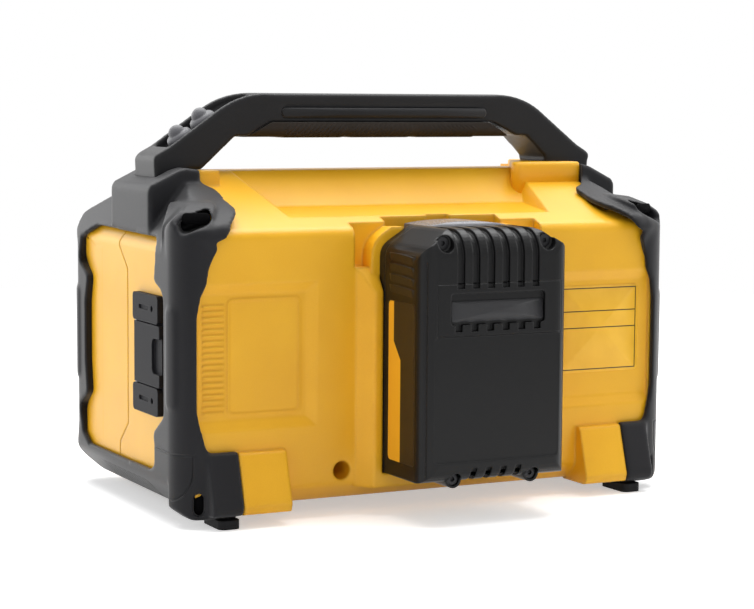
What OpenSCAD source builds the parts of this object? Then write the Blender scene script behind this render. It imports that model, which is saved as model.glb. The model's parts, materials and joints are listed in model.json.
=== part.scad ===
// Jobsite loudspeaker: a moulded housing in two halves with rubber end bumpers, a fixed carrying handle
// and a battery pack that slides down onto a dock on the rear.
// Millimetres, +Z up. The front faces -Y, the pack is at +Y and the sockets are in the +X end.
// The origin is on the floor, at the middle of the whole part's box.

/* [Housing] */
// Length over the two end panels
body_l = 250; // [246:1:270]
// Depth from the front face to the rear wall
body_d = 140; // [136:1:165]
// Height of the housing's top above the floor
top_z = 155; // [152:1:170]
// Gap between the floor and the underside of the housing
floor_gap = 7; // [6:0.5:9]
// Height of the crease between the rear wall and the sloping shoulder
crease_z = 130; // [129:1:136]
// Thickness of the moulded walls
wall = 3; // [2.4:0.1:3.4]
// Depth of the flat strip along the top
top_flat = 18; // [12:1:30]
// Height of the chamfer along the lower edges, front and rear
base_edge = 8; // [5:1:10]
// Size of the chamfer under the two ends
base_cut = 13; // [8:1:16]
// How far the sloping end shoulder runs in from the end panel
shoulder_in = 26; // [20:1:30]
// Height where the sloping end shoulder starts
shoulder_z = 122; // [118:1:126]
// Radius of the upright corners
plan_r = 11; // [8:1:14]
// Radius that eases the long edges
edge_r = 5; // [4:0.5:7]
// Height of the plinths under the handle, above the top
plinth_h = 0.5; // [0.5:0.5:3]
// Depth of the plinths, front to back
plinth_d = 50; // [46:1:56]
// Length of each plinth along the top
plinth_l = 10; // [8:1:16]
// Width of the parting gap that holds the seal
seam_gap = 0.6; // [0.4:0.1:1]
// Offset of the parting line behind the middle of the depth
seam_back = 2; // [0:1:6]
// Step of the parting line near the top and the bottom
seam_jog = 11; // [9:1:14]

/* [Rear face] */
// Width of the yellow block beside each rear foot
foot_block_w = 23; // [16:1:28]
// Height of the top of the rear feet
foot_top_z = 33; // [28:1:38]
// How far the rear feet flare past the rear wall at the floor
foot_flare = 10; // [6:0.5:12]
// Depth of the plain recesses beside the pack
recess_d = 2.2; // [1:0.1:2.4]
// Height of the lower edge of those recesses
recess_z = 47; // [44:1:50]
// Height of the recesses
recess_h = 56; // [50:1:58]
// Width of the recesses
recess_w = 53; // [46:1:54]
// Width of the sloping borders round the recesses
recess_slope = 4.5; // [2:0.5:5]
// Number of fine ribs in the recess at the socket end
rib_count = 19; // [10:1:22]
// Angle of the dished front part of the end panels
dish_angle = 11; // [6:1:12]
// Depth of the hollow over the shoulder, behind the handle
scoop_d = 7.5; // [4:0.5:8]
// Length of that hollow
scoop_l = 154; // [120:1:158]

/* [Bumpers] */
// Thickness of the rubber on the housing's long faces
bumper_t = 3; // [2:0.5:4]
// How far the rubber stands out past the end panels
bumper_end = 3; // [3:0.5:5]
// How far the cap of each bumper reaches in from the end panel
cap_in = 26; // [24:1:28]
// How far the slim upright posts reach in from the end panel
post_in = 6; // [5:0.5:8]
// How far the rear feet reach in from the end panel
foot_in = 25; // [22:1:28]
// Width of the rubber part of the rear feet
foot_w = 15; // [12:1:16]
// Depth of the collars round the handle's legs, front to back
collar_d = 50; // [46:1:54]

/* [Handle] */
// Height of the top of the handle above the housing's top
handle_rise = 36; // [32:1:60]
// Thickness of the grip bar
bar_t = 20; // [17:0.5:21]
// Depth of the handle, front to back
handle_d = 26; // [24:1:32]
// Thickness of the legs along the length
leg_t = 22.5; // [20:0.5:24]
// Radius of the bends at the ends of the bar
bend_r = 41; // [30:1:44]
// Slope of the handle's ends, in degrees
slope_angle = 35; // [33:1:37]
// Length of the soft insert under the bar
grip_l = 130; // [100:1:134]
// Depth of the channel in each sloping end
channel_d = 5; // [3:0.5:6]
// Width of that channel
channel_w = 19; // [15:0.5:20]
// Radius of the rounded buffers in the channels
dome_r = 6.4; // [5:0.1:6.5]
// How far the buffers stand out of the channels
dome_proud = 3; // [1:0.5:4]

/* [Battery pack] */
// Width of the pack
pack_w = 75; // [75:0.5:78]
// Height of the pack
pack_h = 112; // [110:1:116]
// How far the pack's sloping top corners drop
pack_corner = 9.5; // [7:0.5:11]
// Height of the underside of the pack above the floor
pack_z = 20; // [19:0.5:24]
// How far the rear face of the pack stands past the rear wall
pack_proud = 45; // [44.5:0.5:50]
// Place of the dock's middle, off the middle of the length
dock_x = -7; // [-12:1:0]
// Wall of the pack's case
case_t = 2.2; // [1.8:0.1:2.3]
// Diameter of a cell
cell_dia = 18.4; // [18:0.1:18.5]
// Distance from a cell's end to the outside of the pack
cell_margin = 5; // [4.6:0.1:6]
// Width of the pack's rail, over its flanges
rail_w = 60; // [56:0.5:64]
// Width of the rail's neck
neck_w = 50; // [46:0.5:52]
// Play between the rail and the dock
rail_play = 0.3; // [0.2:0.05:0.5]
// Travel of the release button
release_travel = 4; // [3:0.1:4.2]

/* [Sound] */
// Radius of a driver's flange
driver_r = 44; // [42:0.5:45]
// Distance of each driver from the middle of the length
driver_x = 54; // [50:1:56]
// Height of the drivers' axes
driver_z = 62; // [60:1:64]
// Radius of the voice coil
coil_r = 10.4; // [9:0.1:11]
// Width across the flats of a hole in the grille
mesh_hole = 6.2; // [4:0.1:6.6]
// Pitch of the holes in the grille
mesh_pitch = 8; // [7.4:0.1:10]

/* [Controls and sockets] */
// Pitch of the buttons
button_pitch = 18; // [16:0.5:18.5]
// Width of a button
button_w = 13; // [10:0.5:14]
// Height of a button
button_h = 9; // [7:0.5:10]
// Travel of a button
button_travel = 1; // [0.6:0.1:1.2]
// Height of the middle of the socket flap
port_z = 74; // [71:0.5:76]
// Height of the flap
flap_h = 28; // [26:0.5:30]
// Width of the flap from its hinge to its free edge
flap_w = 31; // [30:0.5:33]
// Radius of the headphone jack's bore
jack_r = 1.8; // [1.7:0.05:1.9]

/* [Hidden] */

// Colours
yellow = [0.86, 0.65, 0.16];
rubber = [0.22, 0.22, 0.23];
black = [0.1, 0.1, 0.11];
steel = [0.72, 0.72, 0.74];
green = [0.1, 0.35, 0.2];

// Clearances: pieces of one assembly, and loose fits round screws
fit = 0.15;
loose = 0.1;
// How far a cutter runs past the surface that it cuts
over = 20;

// Main planes
overall_d = bumper_t + body_d + pack_proud;
front_y = bumper_t - overall_d / 2;
rear_y = front_y + body_d;
back_y = rear_y + pack_proud;
mid_y = (front_y + rear_y) / 2;
end_x = body_l / 2;
shoulder_y = mid_y + top_flat / 2;
shoulder_slope = (top_z - crease_z) / (rear_y - shoulder_y);
function shoulder_height(y) = crease_z + (rear_y - y) * shoulder_slope;

// Parting line: the height of its two steps, and its place between and outside them
seam_y = mid_y + seam_back;
seam_top_z = shoulder_z - 12;
seam_low_z = floor_gap + 31;
dish_y = front_y + 34;
recess_outer_x = end_x - 7;
seam_run = 10;

// Housing screws: two under the end shoulders and two beside the dock
screw_r = 2;
screw_head_r = 4;
screw_head_t = 3;
screw_post_r = 6;
post_front_y = front_y + 31;
screw_seat_y = seam_y + 11;
upper_screw = [end_x - 24, shoulder_z + 17];
lower_screw_z = floor_gap + 14;
lower_screw_off = 55;
screw_places = [[-upper_screw[0], upper_screw[1]], upper_screw,
    [dock_x - lower_screw_off, lower_screw_z], [dock_x + lower_screw_off, lower_screw_z]];

// Rubber-lined slots in the upper corners
slot_t = 1.2;
slot_d = 22;

// Handle
handle_y = mid_y + 2;
handle_z = top_z + handle_rise;
plinth_z = top_z + plinth_h;
leg_x = end_x - 9;
plinth_x = end_x - cap_in;
leg_low_z = shoulder_z + 19;
bend_x = leg_x - 8.5;
bar_end_x = leg_x - 58.6;
bend_centre = [bar_end_x, handle_z - bend_r];
handle_screw_x = leg_x - leg_t + 2.5;
handle_screw_off = 6.5;
handle_head_r = 3.2;

// Dock and pack, front to back: floor of the rail's channel, face that the pack lies on, rim
dock_floor_y = rear_y - 12;
dock_lip_y = dock_floor_y + 7;
dock_face_y = rear_y + 2;
dock_rim_y = rear_y + 7;
rim_w = 4;
boss_flare = 7;
boss_top_z = pack_z + 93;
boss_low_z = pack_z - 7;
hollow_d = 7;
hollow_half = pack_w / 2 + 0.5 + rim_w + boss_flare;
catch_d = 3.6;
pack_top_z = pack_z + pack_h;
pack_face_y = dock_face_y + rail_play;
pack_split_y = dock_rim_y + 0.5;
rail_low_z = pack_z + 16;
rail_top_z = pack_top_z - 9;
cell_l = pack_w - 2 * cell_margin;
cell_pitch = cell_dia + 0.8;
cells_high = 5;
cell_low_z = pack_z + case_t + 0.3 + cell_dia / 2;
cell_top_z = cell_low_z + (cells_high - 1) * cell_pitch + cell_dia / 2;
cell_y = pack_face_y + case_t + 0.3 + cell_dia / 2;
bay_top_z = cell_top_z + 0.4;
bay_w = cell_l + 5;
hook_w = 10;
hook_low_z = rail_top_z - 22;
button_low_z = pack_top_z - 4;
button_top_z = pack_top_z + 1.8;
spring_x = 14;
spring_y = dock_floor_y + 9;
spring_low_z = rail_top_z - 8;
spring_wire = 0.7;
spring_coil_r = 2.3;
spring_turns = 6;
blade_places = [-15, -5, 5, 15];
blade_t = 1;

// Front: planes of the grille, the baffle and the drivers
front_in_y = front_y + wall;
grille_half = end_x - 31;
grille_low_z = floor_gap + 13;
grille_high_z = floor_gap + 97;
baffle_t = 4;
baffle_y = front_in_y + 0.2;
baffle_back_y = baffle_y + baffle_t;
baffle_half = grille_half + 9;
baffle_post_x = grille_half + 5;
baffle_post_z = [grille_low_z + 6, grille_high_z - 6];
flange_y = baffle_back_y + fit;
flange_back_y = flange_y + 2.4;
driver_screw_r = driver_r - 3;
basket_r = driver_r - 8;
cone_r = basket_r - 7;
basket_back_y = flange_y + 27.5;
motor_back_y = basket_back_y + 18;
coil_t = 0.8;

// Control panel with a row of eight buttons
button_count = 8;
panel_low_z = grille_high_z + 6.5;
panel_high_z = crease_z - 4;
panel_side = 4.5;
panel_half = (button_count - 1) / 2 * button_pitch + button_w / 2 + panel_side;
panel_rim = 2.2;
panel_t = wall;
panel_back_y = front_in_y + 1.5;
button_z = (panel_low_z + panel_high_z) / 2 - 0.8;
button_flange = 1.2;
button_back_y = panel_back_y + 0.3 + 1;
switch_y = button_back_y + button_travel + 0.3;
board_y = switch_y + 1.8;
board_t = 1.6;

// Sockets in the +X end, measured back from the outside of the end panel
port_y = seam_y + 16;
flap_x = end_x + 0.65;
flap_t = 2.35;
pin_r = 0.7;
pin_x = end_x + 1.8;
barrel_r = 1.15;
tab_h = 13;
tab_t = 3;
port_low_z = port_z - flap_h / 2;
port_high_z = port_z + flap_h / 2;
pocket_d = 16;
pocket_y = [port_y + 4, port_y + flap_w - 6];
pocket_z = [port_low_z + 1.5, port_high_z - 1.5];
pocket_t = 2;
plate_t = 0.4;
pocket_x = end_x - pocket_d;
socket_back_x = pocket_x - 14;
usb = [16, 5.7, 13.1];
usb_y = pocket_y[1] - 6.5;
jack_y = pocket_y[0] + 5.5;
jack_body_r = 3.8;
jack_depth = 14;

// Helpers: a box from its corners, exact rounded rectangles and extrusions along X and Y

module box(low, high) {
    translate(low) cube(high - low);
}

module soft_rect(low, high, r) {
    translate([low[0] + r, low[1]]) square([high[0] - low[0] - 2 * r, high[1] - low[1]]);
    translate([low[0], low[1] + r]) square([high[0] - low[0], high[1] - low[1] - 2 * r]);
    for (x = [low[0] + r, high[0] - r], y = [low[1] + r, high[1] - r]) translate([x, y]) circle(r, $fn = 48);
}

module extrude_x(x0, x1) {
    translate([x0, 0, 0]) rotate([90, 0, 90]) linear_extrude(x1 - x0) children();
}

module extrude_y(y0, y1) {
    translate([0, y1, 0]) rotate([90, 0, 0]) linear_extrude(y1 - y0) children();
}

module rod_y(x, z, y0, y1, r) {
    translate([x, y0, z]) rotate([-90, 0, 0]) cylinder(h = y1 - y0, r = r, $fn = 40);
}

module rod_x(y, z, x0, x1, r) {
    translate([x0, y, z]) rotate([0, 90, 0]) cylinder(h = x1 - x0, r = r, $fn = 40);
}

module eased(g = 0, r = edge_r) {
    offset(r = r + g, $fn = 24) offset(delta = -r) children();
}

// Round wire carried along a list of points: each ring stands square to the path, turned by a fixed guide
module swept_wire(path, radius, sides, guide) {
    last = len(path) - 1;
    points = [for (k = [0 : last]) let (
            ahead = path[min(k + 1, last)] - path[max(k - 1, 0)], t = ahead / norm(ahead),
            side = cross(guide, t), n = side / norm(side), b = cross(t, n))
        each [for (j = [0 : sides - 1]) path[k] + radius * (cos(360 * j / sides) * n + sin(360 * j / sides) * b)]];
    walls = [for (k = [0 : last - 1], j = [0 : sides - 1])
        let (a = k * sides + j, b = k * sides + (j + 1) % sides)
        each [[a, b, a + sides], [b, b + sides, a + sides]]];
    first_cap = [for (j = [1 : sides - 2]) [0, j + 1, j]];
    last_cap = [for (j = [1 : sides - 2]) [last * sides, last * sides + j, last * sides + j + 1]];
    polyhedron(points, concat(walls, first_cap, last_cap));
}

// Rounds the corners of an outline that point out and those that point in
module smoothed(r) {
    offset(r = -r, $fn = 32) offset(r = 2 * r, $fn = 32) offset(delta = -r) children();
}

module both_ends() {
    children();
    mirror([1, 0, 0]) children();
}

// Points of an arc, from angle a0 to a1
function arc(centre, r, a0, a1, steps) = [for (i = [0 : steps])
    centre + r * [cos(a0 + (a1 - a0) * i / steps), sin(a0 + (a1 - a0) * i / steps)]];

// Mirrors a half outline, listed from the bottom middle round to the top middle, across the vertical axis
function both_halves(points) = concat(points,
    [for (i = [len(points) - 1 : -1 : 0]) [-points[i][0], points[i][1]]]);

// Housing form: a side outline, a front outline and a plan, carried through each other

function side_outline() = [
    [front_y, floor_gap + base_edge], [front_y + base_edge, floor_gap],
    [rear_y - base_edge, floor_gap], [rear_y, floor_gap + base_edge],
    [rear_y, crease_z], [shoulder_y, top_z],
    [2 * mid_y - shoulder_y, top_z], [front_y, crease_z]];

function front_outline(half) = both_halves([
    [half - base_cut, floor_gap], [half, floor_gap + base_cut],
    [half, shoulder_z], [half - shoulder_in, top_z]]);

// The form grown by g on its long faces and by ends at the two end panels
module housing_form(g = 0, ends = 0) {
    half = end_x + ends;
    intersection() {
        extrude_x(-half, half) eased(g) polygon(side_outline());
        extrude_y(front_y - over, rear_y + over) eased(g) polygon(front_outline(half - g));
        translate([0, 0, -over]) linear_extrude(top_z + 2 * over)
            soft_rect([-half, front_y - g], [half, rear_y + g], plan_r + g);
    }
}

// Everything behind the parting line, moved back by g
module rear_side(g = 0) {
    step_y = seam_y - seam_jog;
    extrude_x(-end_x - over, end_x + over) translate([g, 0]) polygon([
        [step_y, -over], [step_y, seam_low_z - seam_run], [seam_y, seam_low_z],
        [seam_y, seam_top_z], [step_y, seam_top_z + seam_run], [step_y, top_z + over],
        [back_y, top_z + over], [back_y, -over]]);
}

// Hollow in the shoulder behind the handle: a ledge that rises to the top
module scoop(g = 0) {
    lip_y = rear_y - 12;
    inner_y = shoulder_y + 22;
    ledge_z = shoulder_height(inner_y) - scoop_d;
    half = scoop_l / 2 + g;
    intersection() {
        extrude_x(-half, half) eased(g, 4) polygon([
            [lip_y, shoulder_height(lip_y)], [inner_y, ledge_z],
            [shoulder_y, top_z], [shoulder_y, top_z + over], [lip_y + over, top_z + over]]);
        extrude_y(mid_y, rear_y + over) polygon(both_halves([
            [half - 9, ledge_z - over], [half - 9, ledge_z - 3 - g], [half, top_z + g],
                [half, top_z + over]]));
    }
}

// Plain recesses in the rear face beside the pack, with sloping borders and g of wall kept behind them
module label_recesses(g = 0) {
    floor_y = rear_y - recess_d - g;
    run = over * recess_slope / recess_d;
    low = [recess_outer_x - recess_w - g, recess_z - g];
    high = [recess_outer_x + g, recess_z + recess_h + g];
    both_ends() intersection() {
        extrude_x(low[0] - over, high[0] + over) polygon([[floor_y, low[1]], [floor_y + over, low[1] - run],
            [floor_y + over, high[1] + run], [floor_y, high[1]]]);
        translate([0, 0, low[1] - over]) linear_extrude(high[1] - low[1] + 2 * over) polygon([[low[0],
            floor_y],
            [high[0], floor_y], [high[0], floor_y + over], [low[0] - run, floor_y + over]]);
    }
}

// Fine ribs and a raised outline in the recess at the socket end
module recess_ribs() {
    floor_y = rear_y - recess_d;
    low = [recess_outer_x - recess_w + 3, recess_z + 2];
    high = [recess_outer_x - 14.5, recess_z + recess_h - 2];
    extrude_y(floor_y - 0.2, floor_y + 0.4) difference() {
        soft_rect(low, high, 3);
        soft_rect(low + [1, 1], high - [1, 1], 2);
    }
    pitch = (recess_h - 6) / rib_count;
    for (i = [0 : rib_count - 1])
        box([recess_outer_x - 13, floor_y - 0.2, recess_z + 3 + i * pitch],
            [recess_outer_x - 3, floor_y + 0.5, recess_z + 3 + (i + 0.4) * pitch]);
}

// Dished front part of the end panels: a floor that turns inwards towards the front, with sloping ends
module end_hollows(g = 0) {
    low_z = floor_gap + 27;
    high_z = shoulder_z - 7;
    both_ends() translate([end_x - g, dish_y, 0]) rotate([0, 0, -dish_angle])
        extrude_y(front_y - over - dish_y, 0)
        polygon([[over, low_z - 2 * over], [0, low_z], [0, high_z], [over, high_z + 2 * over]]);
}

// Solid round the rail's channel, kept inside the hollow housing
module dock_block() {
    box([dock_x - rail_w / 2 - 2 * wall, dock_floor_y - catch_d - wall, -over],
        [dock_x + rail_w / 2 + 2 * wall, rear_y + over, top_z + over]);
    box([dock_x - hollow_half - wall, rear_y - hollow_d - wall, boss_top_z - wall],
        [dock_x + hollow_half + wall, rear_y + over, top_z + over]);
}

module cavity() {
    difference() {
        housing_form(-wall, -wall);
        scoop(wall);
        label_recesses(wall);
        dock_block();
        end_hollows(wall);
    }
}

// Raised seat of the pack, with flared sides and a sloping top
module dock_boss() {
    half = pack_w / 2 + 0.5 + rim_w;
    difference() {
        translate([dock_x, 0, boss_low_z]) linear_extrude(boss_top_z - boss_low_z) eased(0, 2) polygon([
            [-half - boss_flare, rear_y - 5], [-half - boss_flare, rear_y - 1], [-half, dock_rim_y],
            [half, dock_rim_y], [half + boss_flare, rear_y - 1], [half + boss_flare, rear_y - 5]]);
        extrude_x(dock_x - half - over, dock_x + half + over) polygon([
            [rear_y - 1, boss_top_z + 1], [dock_rim_y + 1, boss_top_z - 12],
                [dock_rim_y + over, boss_top_z - 12],
            [dock_rim_y + over, boss_top_z + over], [rear_y - 1, boss_top_z + over]]);
    }
    extrude_y(rear_y - hollow_d - 1, dock_face_y) intersection() {
        pack_outline(rim_w);
        translate([dock_x - half, boss_top_z - 13]) square([2 * half, pack_top_z - boss_top_z + 12]);
    }
}

// Hollow over the dock, for the fingers
module dock_hollow() {
    box([dock_x - hollow_half, rear_y - hollow_d, boss_top_z], [dock_x + hollow_half, back_y, top_z + over]);
}

// Space that the pack and its rail need, open at the top
module dock_space() {
    half = pack_w / 2 + 0.5;
    neck = neck_w / 2 + rail_play;
    rail = rail_w / 2 + rail_play;
    translate([dock_x, 0, 0]) {
        box([-half, dock_face_y, pack_z - 0.5], [half, back_y, top_z + over]);
        box([-neck, dock_floor_y, rail_low_z - 12], [neck, back_y, top_z + over]);
        box([-rail, dock_floor_y, rail_low_z - 12], [rail, dock_lip_y, top_z + over]);
        box([-hook_w / 2 - 1, dock_floor_y - catch_d, hook_low_z - 1],
            [hook_w / 2 + 1, dock_lip_y, top_z + over]);
    }
}

module plinths() {
    both_ends() box([plinth_x - plinth_l, mid_y - plinth_d / 2, shoulder_z],
        [plinth_x, mid_y + plinth_d / 2, plinth_z]);
}

function foot_outline(g = 0) = [
    [rear_y - 12, foot_top_z + g], [rear_y + 3 + g, foot_top_z + g],
    [rear_y + foot_flare + g, floor_gap + 3], [rear_y + foot_flare - 1 + g, floor_gap - 1],
    [rear_y - 12, floor_gap - 1]];

module foot_blocks() {
    both_ends() extrude_x(end_x - foot_in - foot_block_w, end_x - foot_in) eased(0, 2)
        polygon(foot_outline());
}

module screw_posts() {
    intersection() {
        housing_form(-wall / 2, -wall / 2);
        union() {
            for (p = screw_places) rod_y(p[0], p[1], post_front_y, rear_y, screw_post_r);
            for (p = [screw_places[2], screw_places[3]])
                box([p[0] - 1.5, post_front_y, floor_gap], [p[0] + 1.5, rear_y, p[1]]);
        }
    }
}

module screw_bores() {
    for (p = screw_places) {
        rod_y(p[0], p[1], post_front_y - 1, rear_y, screw_r + loose);
        rod_y(p[0], p[1], screw_seat_y, rear_y + over, screw_head_r + 0.3);
    }
}

module handle_screw_bores(r) {
    both_ends() for (s = [-1, 1])
        translate([handle_screw_x, handle_y + s * handle_screw_off, shoulder_z])
            cylinder(h = plinth_z - shoulder_z + 9.5, r = r, $fn = 32);
}

module handle_screw_seats() {
    both_ends() for (s = [-1, 1])
        translate([handle_screw_x, handle_y + s * handle_screw_off, shoulder_z])
            cylinder(h = top_z - wall - shoulder_z, r = handle_head_r + 0.3, $fn = 32);
}

module port_hole(g = 0) {
    box([end_x - wall - over, pocket_y[0] - pocket_t - g, pocket_z[0] - pocket_t - g],
        [end_x + over, pocket_y[1] + pocket_t + g, pocket_z[1] + pocket_t + g]);
}

// Walls of the whole housing, before it is parted
module housing_walls() {
    difference() {
        union() {
            difference() {
                housing_form();
                dock_hollow();
                end_hollows();
            }
            plinths();
            foot_blocks();
            dock_boss();
        }
        cavity();
    }
}

module rear_shell() color(yellow) {
    difference() {
        intersection() {
            rear_side(seam_gap / 2);
            union() {
                housing_walls();
                screw_posts();
            }
        }
        scoop();
        label_recesses();
        dock_space();
        screw_bores();
        handle_screw_bores(screw_r + loose);
        handle_screw_seats();
        port_hole(fit);
        both_ends() extrude_y(rear_y - slot_d - fit, rear_y + over) slot_outline(slot_t + fit);
        board_screw_bores();
        box([dock_x - 9, 0, rail_low_z - 10], [dock_x + 9, rear_y, rail_low_z - 4]);
    }
    recess_ribs();
    board_posts();
}

module front_shell() color(yellow) difference() {
    union() {
        difference() {
            union() {
                housing_walls();
                screw_posts();
            }
            rear_side(-seam_gap / 2);
            extrude_y(front_y - over, front_in_y + 1)
                soft_rect([-grille_half, grille_low_z], [grille_half, grille_high_z], 8);
            extrude_y(front_y - over, front_in_y + 1)
                soft_rect([-panel_half, panel_low_z], [panel_half, panel_high_z], 4);
        }
        for (x = [-baffle_post_x, baffle_post_x], z = baffle_post_z)
            rod_y(x, z, front_in_y - 0.5, baffle_back_y - 0.1, 3.5);
    }
    screw_bores();
    for (x = [-baffle_post_x, baffle_post_x], z = baffle_post_z) rod_y(x, z, front_y + 1, baffle_back_y, 1.3);
}

// Seal in the parting gap, set back a little from the outside
module housing_seal() color(rubber) difference() {
    intersection() {
        difference() {
            housing_form(-0.5, -0.5);
            cavity();
        }
        rear_side(-seam_gap / 2);
    }
    rear_side(seam_gap / 2);
    screw_posts();
    dock_block();
}

// Screw with a pan head: its head's underside is at y0 and its shank runs towards -Y
module screw_along_y(x, z, y0, length, r, head_r, head_t) {
    rod_y(x, z, y0 - length, y0, r);
    difference() {
        rod_y(x, z, y0, y0 + head_t, head_r);
        rod_y(x, z, y0 + head_t * 0.4, y0 + head_t + 1, head_r * 0.4);
    }
}

module housing_screws() color(steel) {
    for (p = screw_places)
        screw_along_y(p[0], p[1], screw_seat_y + 0.05, screw_seat_y - post_front_y - 1, screw_r,
            screw_head_r, screw_head_t);
}

// Rubber end frame of the +X end

// Part of the length that the bumper covers, seen from behind
function bumper_zone() = [
    [plinth_x + fit, top_z + over], [plinth_x + fit, top_z - 5], [end_x - 31.5, top_z - 8],
    [end_x - 29.5, top_z - 14.5], [end_x - 25.5, crease_z + 2], [end_x - 23.5, crease_z - 2],
    [end_x - 16, crease_z - 6], [end_x - 12.4, crease_z - 13], [end_x - 10.5, crease_z - 22],
    [end_x - 8, recess_z + recess_h], [end_x - post_in, recess_z + recess_h - 10],
    [end_x - post_in, recess_z + 5], [end_x - 8.5, recess_z - 6], [end_x - 10.5, foot_top_z + 1],
    [end_x - foot_in, foot_top_z], [end_x - foot_in, -over], [end_x + over, -over],
        [end_x + over, top_z + over]];

// Opening that shows the end panel, seen from the end
function window_outline() = [
    [front_y + 28, shoulder_z + 5.5], [mid_y + 36, shoulder_z + 4.5], [mid_y + 42, shoulder_z + 2.5],
    [mid_y + 43.5, shoulder_z - 3], [mid_y + 41.5, shoulder_z - 14.5], [mid_y + 49.5, shoulder_z - 17.6],
    [mid_y + 53, shoulder_z - 21], [mid_y + 53, floor_gap + 41], [mid_y + 41, floor_gap + 33],
    [mid_y + 42, floor_gap + 18], [mid_y + 36, floor_gap + 15], [front_y + 24, floor_gap + 14.5],
    [front_y + 15, floor_gap + 19], [front_y + 9, floor_gap + 32], [front_y + 22, floor_gap + 40],
    [front_y + 18.5, floor_gap + 55], [front_y + 18.5, shoulder_z - 31], [front_y + 24, shoulder_z - 19.5],
    [front_y + 15.5, shoulder_z - 15.5], [front_y + 9, shoulder_z - 12], [front_y + 14, shoulder_z - 1]];

// Collar that the handle's leg stands in
function collar_outline() = [
    [plinth_x + fit, shoulder_z - 4], [plinth_x + fit, plinth_z + 0.5], [plinth_x + 7, plinth_z + 1.4],
    [plinth_x + 11, plinth_z + 0.4], [end_x - 2, shoulder_z + 27.5], [end_x - 0.5, shoulder_z + 25],
    [end_x - 0.5, shoulder_z - 4]];

// Raised grip strips on the upright posts, front and rear
module post_strips() {
    for (y = [front_y + 3, rear_y - 12])
        extrude_x(end_x - 9, end_x + bumper_end + 0.8)
            soft_rect([y, recess_z + 6], [y + 8, recess_z + recess_h - 6], 2.5);
}

// Upright prism on the bumper's plan, with its round corners
module bumper_plan(low_z, high_z) {
    translate([0, 0, low_z]) linear_extrude(high_z - low_z)
        soft_rect([-end_x - bumper_end, front_y - bumper_t],
        [end_x + bumper_end, rear_y + bumper_t], plan_r + bumper_t);
}

// Fuller rounding of an upper rear corner, round the slot
module slot_knuckle() {
    low_z = shoulder_z - 8;
    outer_x = end_x + bumper_end;
    intersection() {
        bumper_plan(low_z, top_z);
        linear_extrude(top_z) polygon([[end_x - 19, rear_y - 36], [end_x - 8, rear_y - 36],
            [outer_x, rear_y - 18],
            [outer_x, rear_y + over], [end_x - 19, rear_y + over]]);
        extrude_y(rear_y - 36, rear_y + over) eased(0, 4) polygon([[end_x - 24, low_z], [outer_x, low_z],
            [outer_x, shoulder_z + 10], [end_x - 7, shoulder_z + 20], [end_x - 24, shoulder_z + 22]]);
        extrude_x(end_x - 30, end_x + over) eased(0, 4) polygon([[rear_y - 40, low_z],
            [rear_y + bumper_t, low_z],
            [rear_y + bumper_t, shoulder_z + 9], [rear_y - 6, shoulder_z + 17],
                [rear_y - 40, shoulder_z + 28]]);
    }
}

// Fuller lower rear corner, between the end and the foot
module corner_boot() {
    low_z = floor_gap - bumper_t;
    outer_x = end_x + bumper_end;
    intersection() {
        bumper_plan(low_z, foot_top_z);
        extrude_y(rear_y - 11, rear_y + over) eased(0, 1) polygon([[end_x - foot_in + fit, low_z],
            [end_x - 4, low_z],
            [outer_x, floor_gap + 2], [outer_x, foot_top_z - 3], [end_x - foot_in + fit, foot_top_z - 3]]);
    }
}

// Oval slot in an upper corner, grown by g
module slot_outline(g = 0) {
    translate([end_x - 11, shoulder_z + 12.8]) rotate(-23.5)
        soft_rect([-7.5 - g, -3.4 - g], [7.5 + g, 3.4 + g], 3.3 + g);
}

module bumper() {
    slot_y = rear_y - slot_d;
    difference() {
        union() {
            bumper_walls();
            intersection() {
                housing_form(bumper_t - 0.4, bumper_end - 0.4);
                extrude_y(slot_y, rear_y) slot_outline(slot_t);
            }
        }
        extrude_y(slot_y + slot_t, rear_y + over) slot_outline();
    }
}

module bumper_walls() {
    difference() {
        union() {
            difference() {
                union() {
                    intersection() {
                        housing_form(bumper_t, bumper_end);
                        extrude_y(front_y - over, rear_y + over) smoothed(3) polygon(bumper_zone());
                    }
                    intersection() {
                        housing_form(bumper_t + 0.8, bumper_end + 0.8);
                        post_strips();
                    }
                    extrude_y(handle_y + 1 - collar_d / 2, handle_y + 1 + collar_d / 2)
                        smoothed(1) polygon(collar_outline());
                    extrude_x(end_x - foot_in + fit, end_x - foot_in + foot_w) eased(0, 2)
                        polygon(foot_outline(0.8));
                    slot_knuckle();
                    corner_boot();
                }
                extrude_x(end_x - 12, end_x + over) smoothed(2.5) polygon(window_outline());
            }
        }
        difference() {
            housing_form(fit, fit);
            end_hollows(-fit);
        }
        leg_space();
        translate([end_x - 6.5, rear_y + bumper_t - 1, floor_gap + 4]) rotate([0, 0, -20]) extrude_y(-6, over)
            soft_rect([-2.2, -5], [2.2, 5], 2.1);
    }
}

// Room for the handle's legs in the collars
module leg_space() {
    extrude_y(handle_y - handle_d / 2 - fit, handle_y + handle_d / 2 + fit)
        offset(delta = fit) handle_outline();
}

module bumper_right() color(rubber) bumper();

module bumper_left() color(rubber) mirror([1, 0, 0]) bumper();

// Dark pads under the four feet: the front pair is set in under the housing
module foot_pads() color(black) both_ends() {
    linear_extrude(floor_gap) soft_rect([end_x - 67, front_y + 14], [end_x - 45, front_y + 32], 3);
    linear_extrude(floor_gap - bumper_t)
        soft_rect([end_x - foot_in + 0.5, rear_y - 14], [end_x - base_cut - 1.5, rear_y + foot_flare - 3], 3);
}

// Handle: one arch, seen from the front
function handle_points() = concat([
    [0, handle_z - bar_t], [leg_x - leg_t - 17, handle_z - bar_t], [leg_x - leg_t, plinth_z + fit],
    [plinth_x + fit, plinth_z + fit], [leg_x, leg_low_z], [leg_x, leg_low_z + 19.4], slope_low],
    arc(bend_centre, bend_r, 90 - slope_angle, 90, 10), [[0, handle_z]]);

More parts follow.
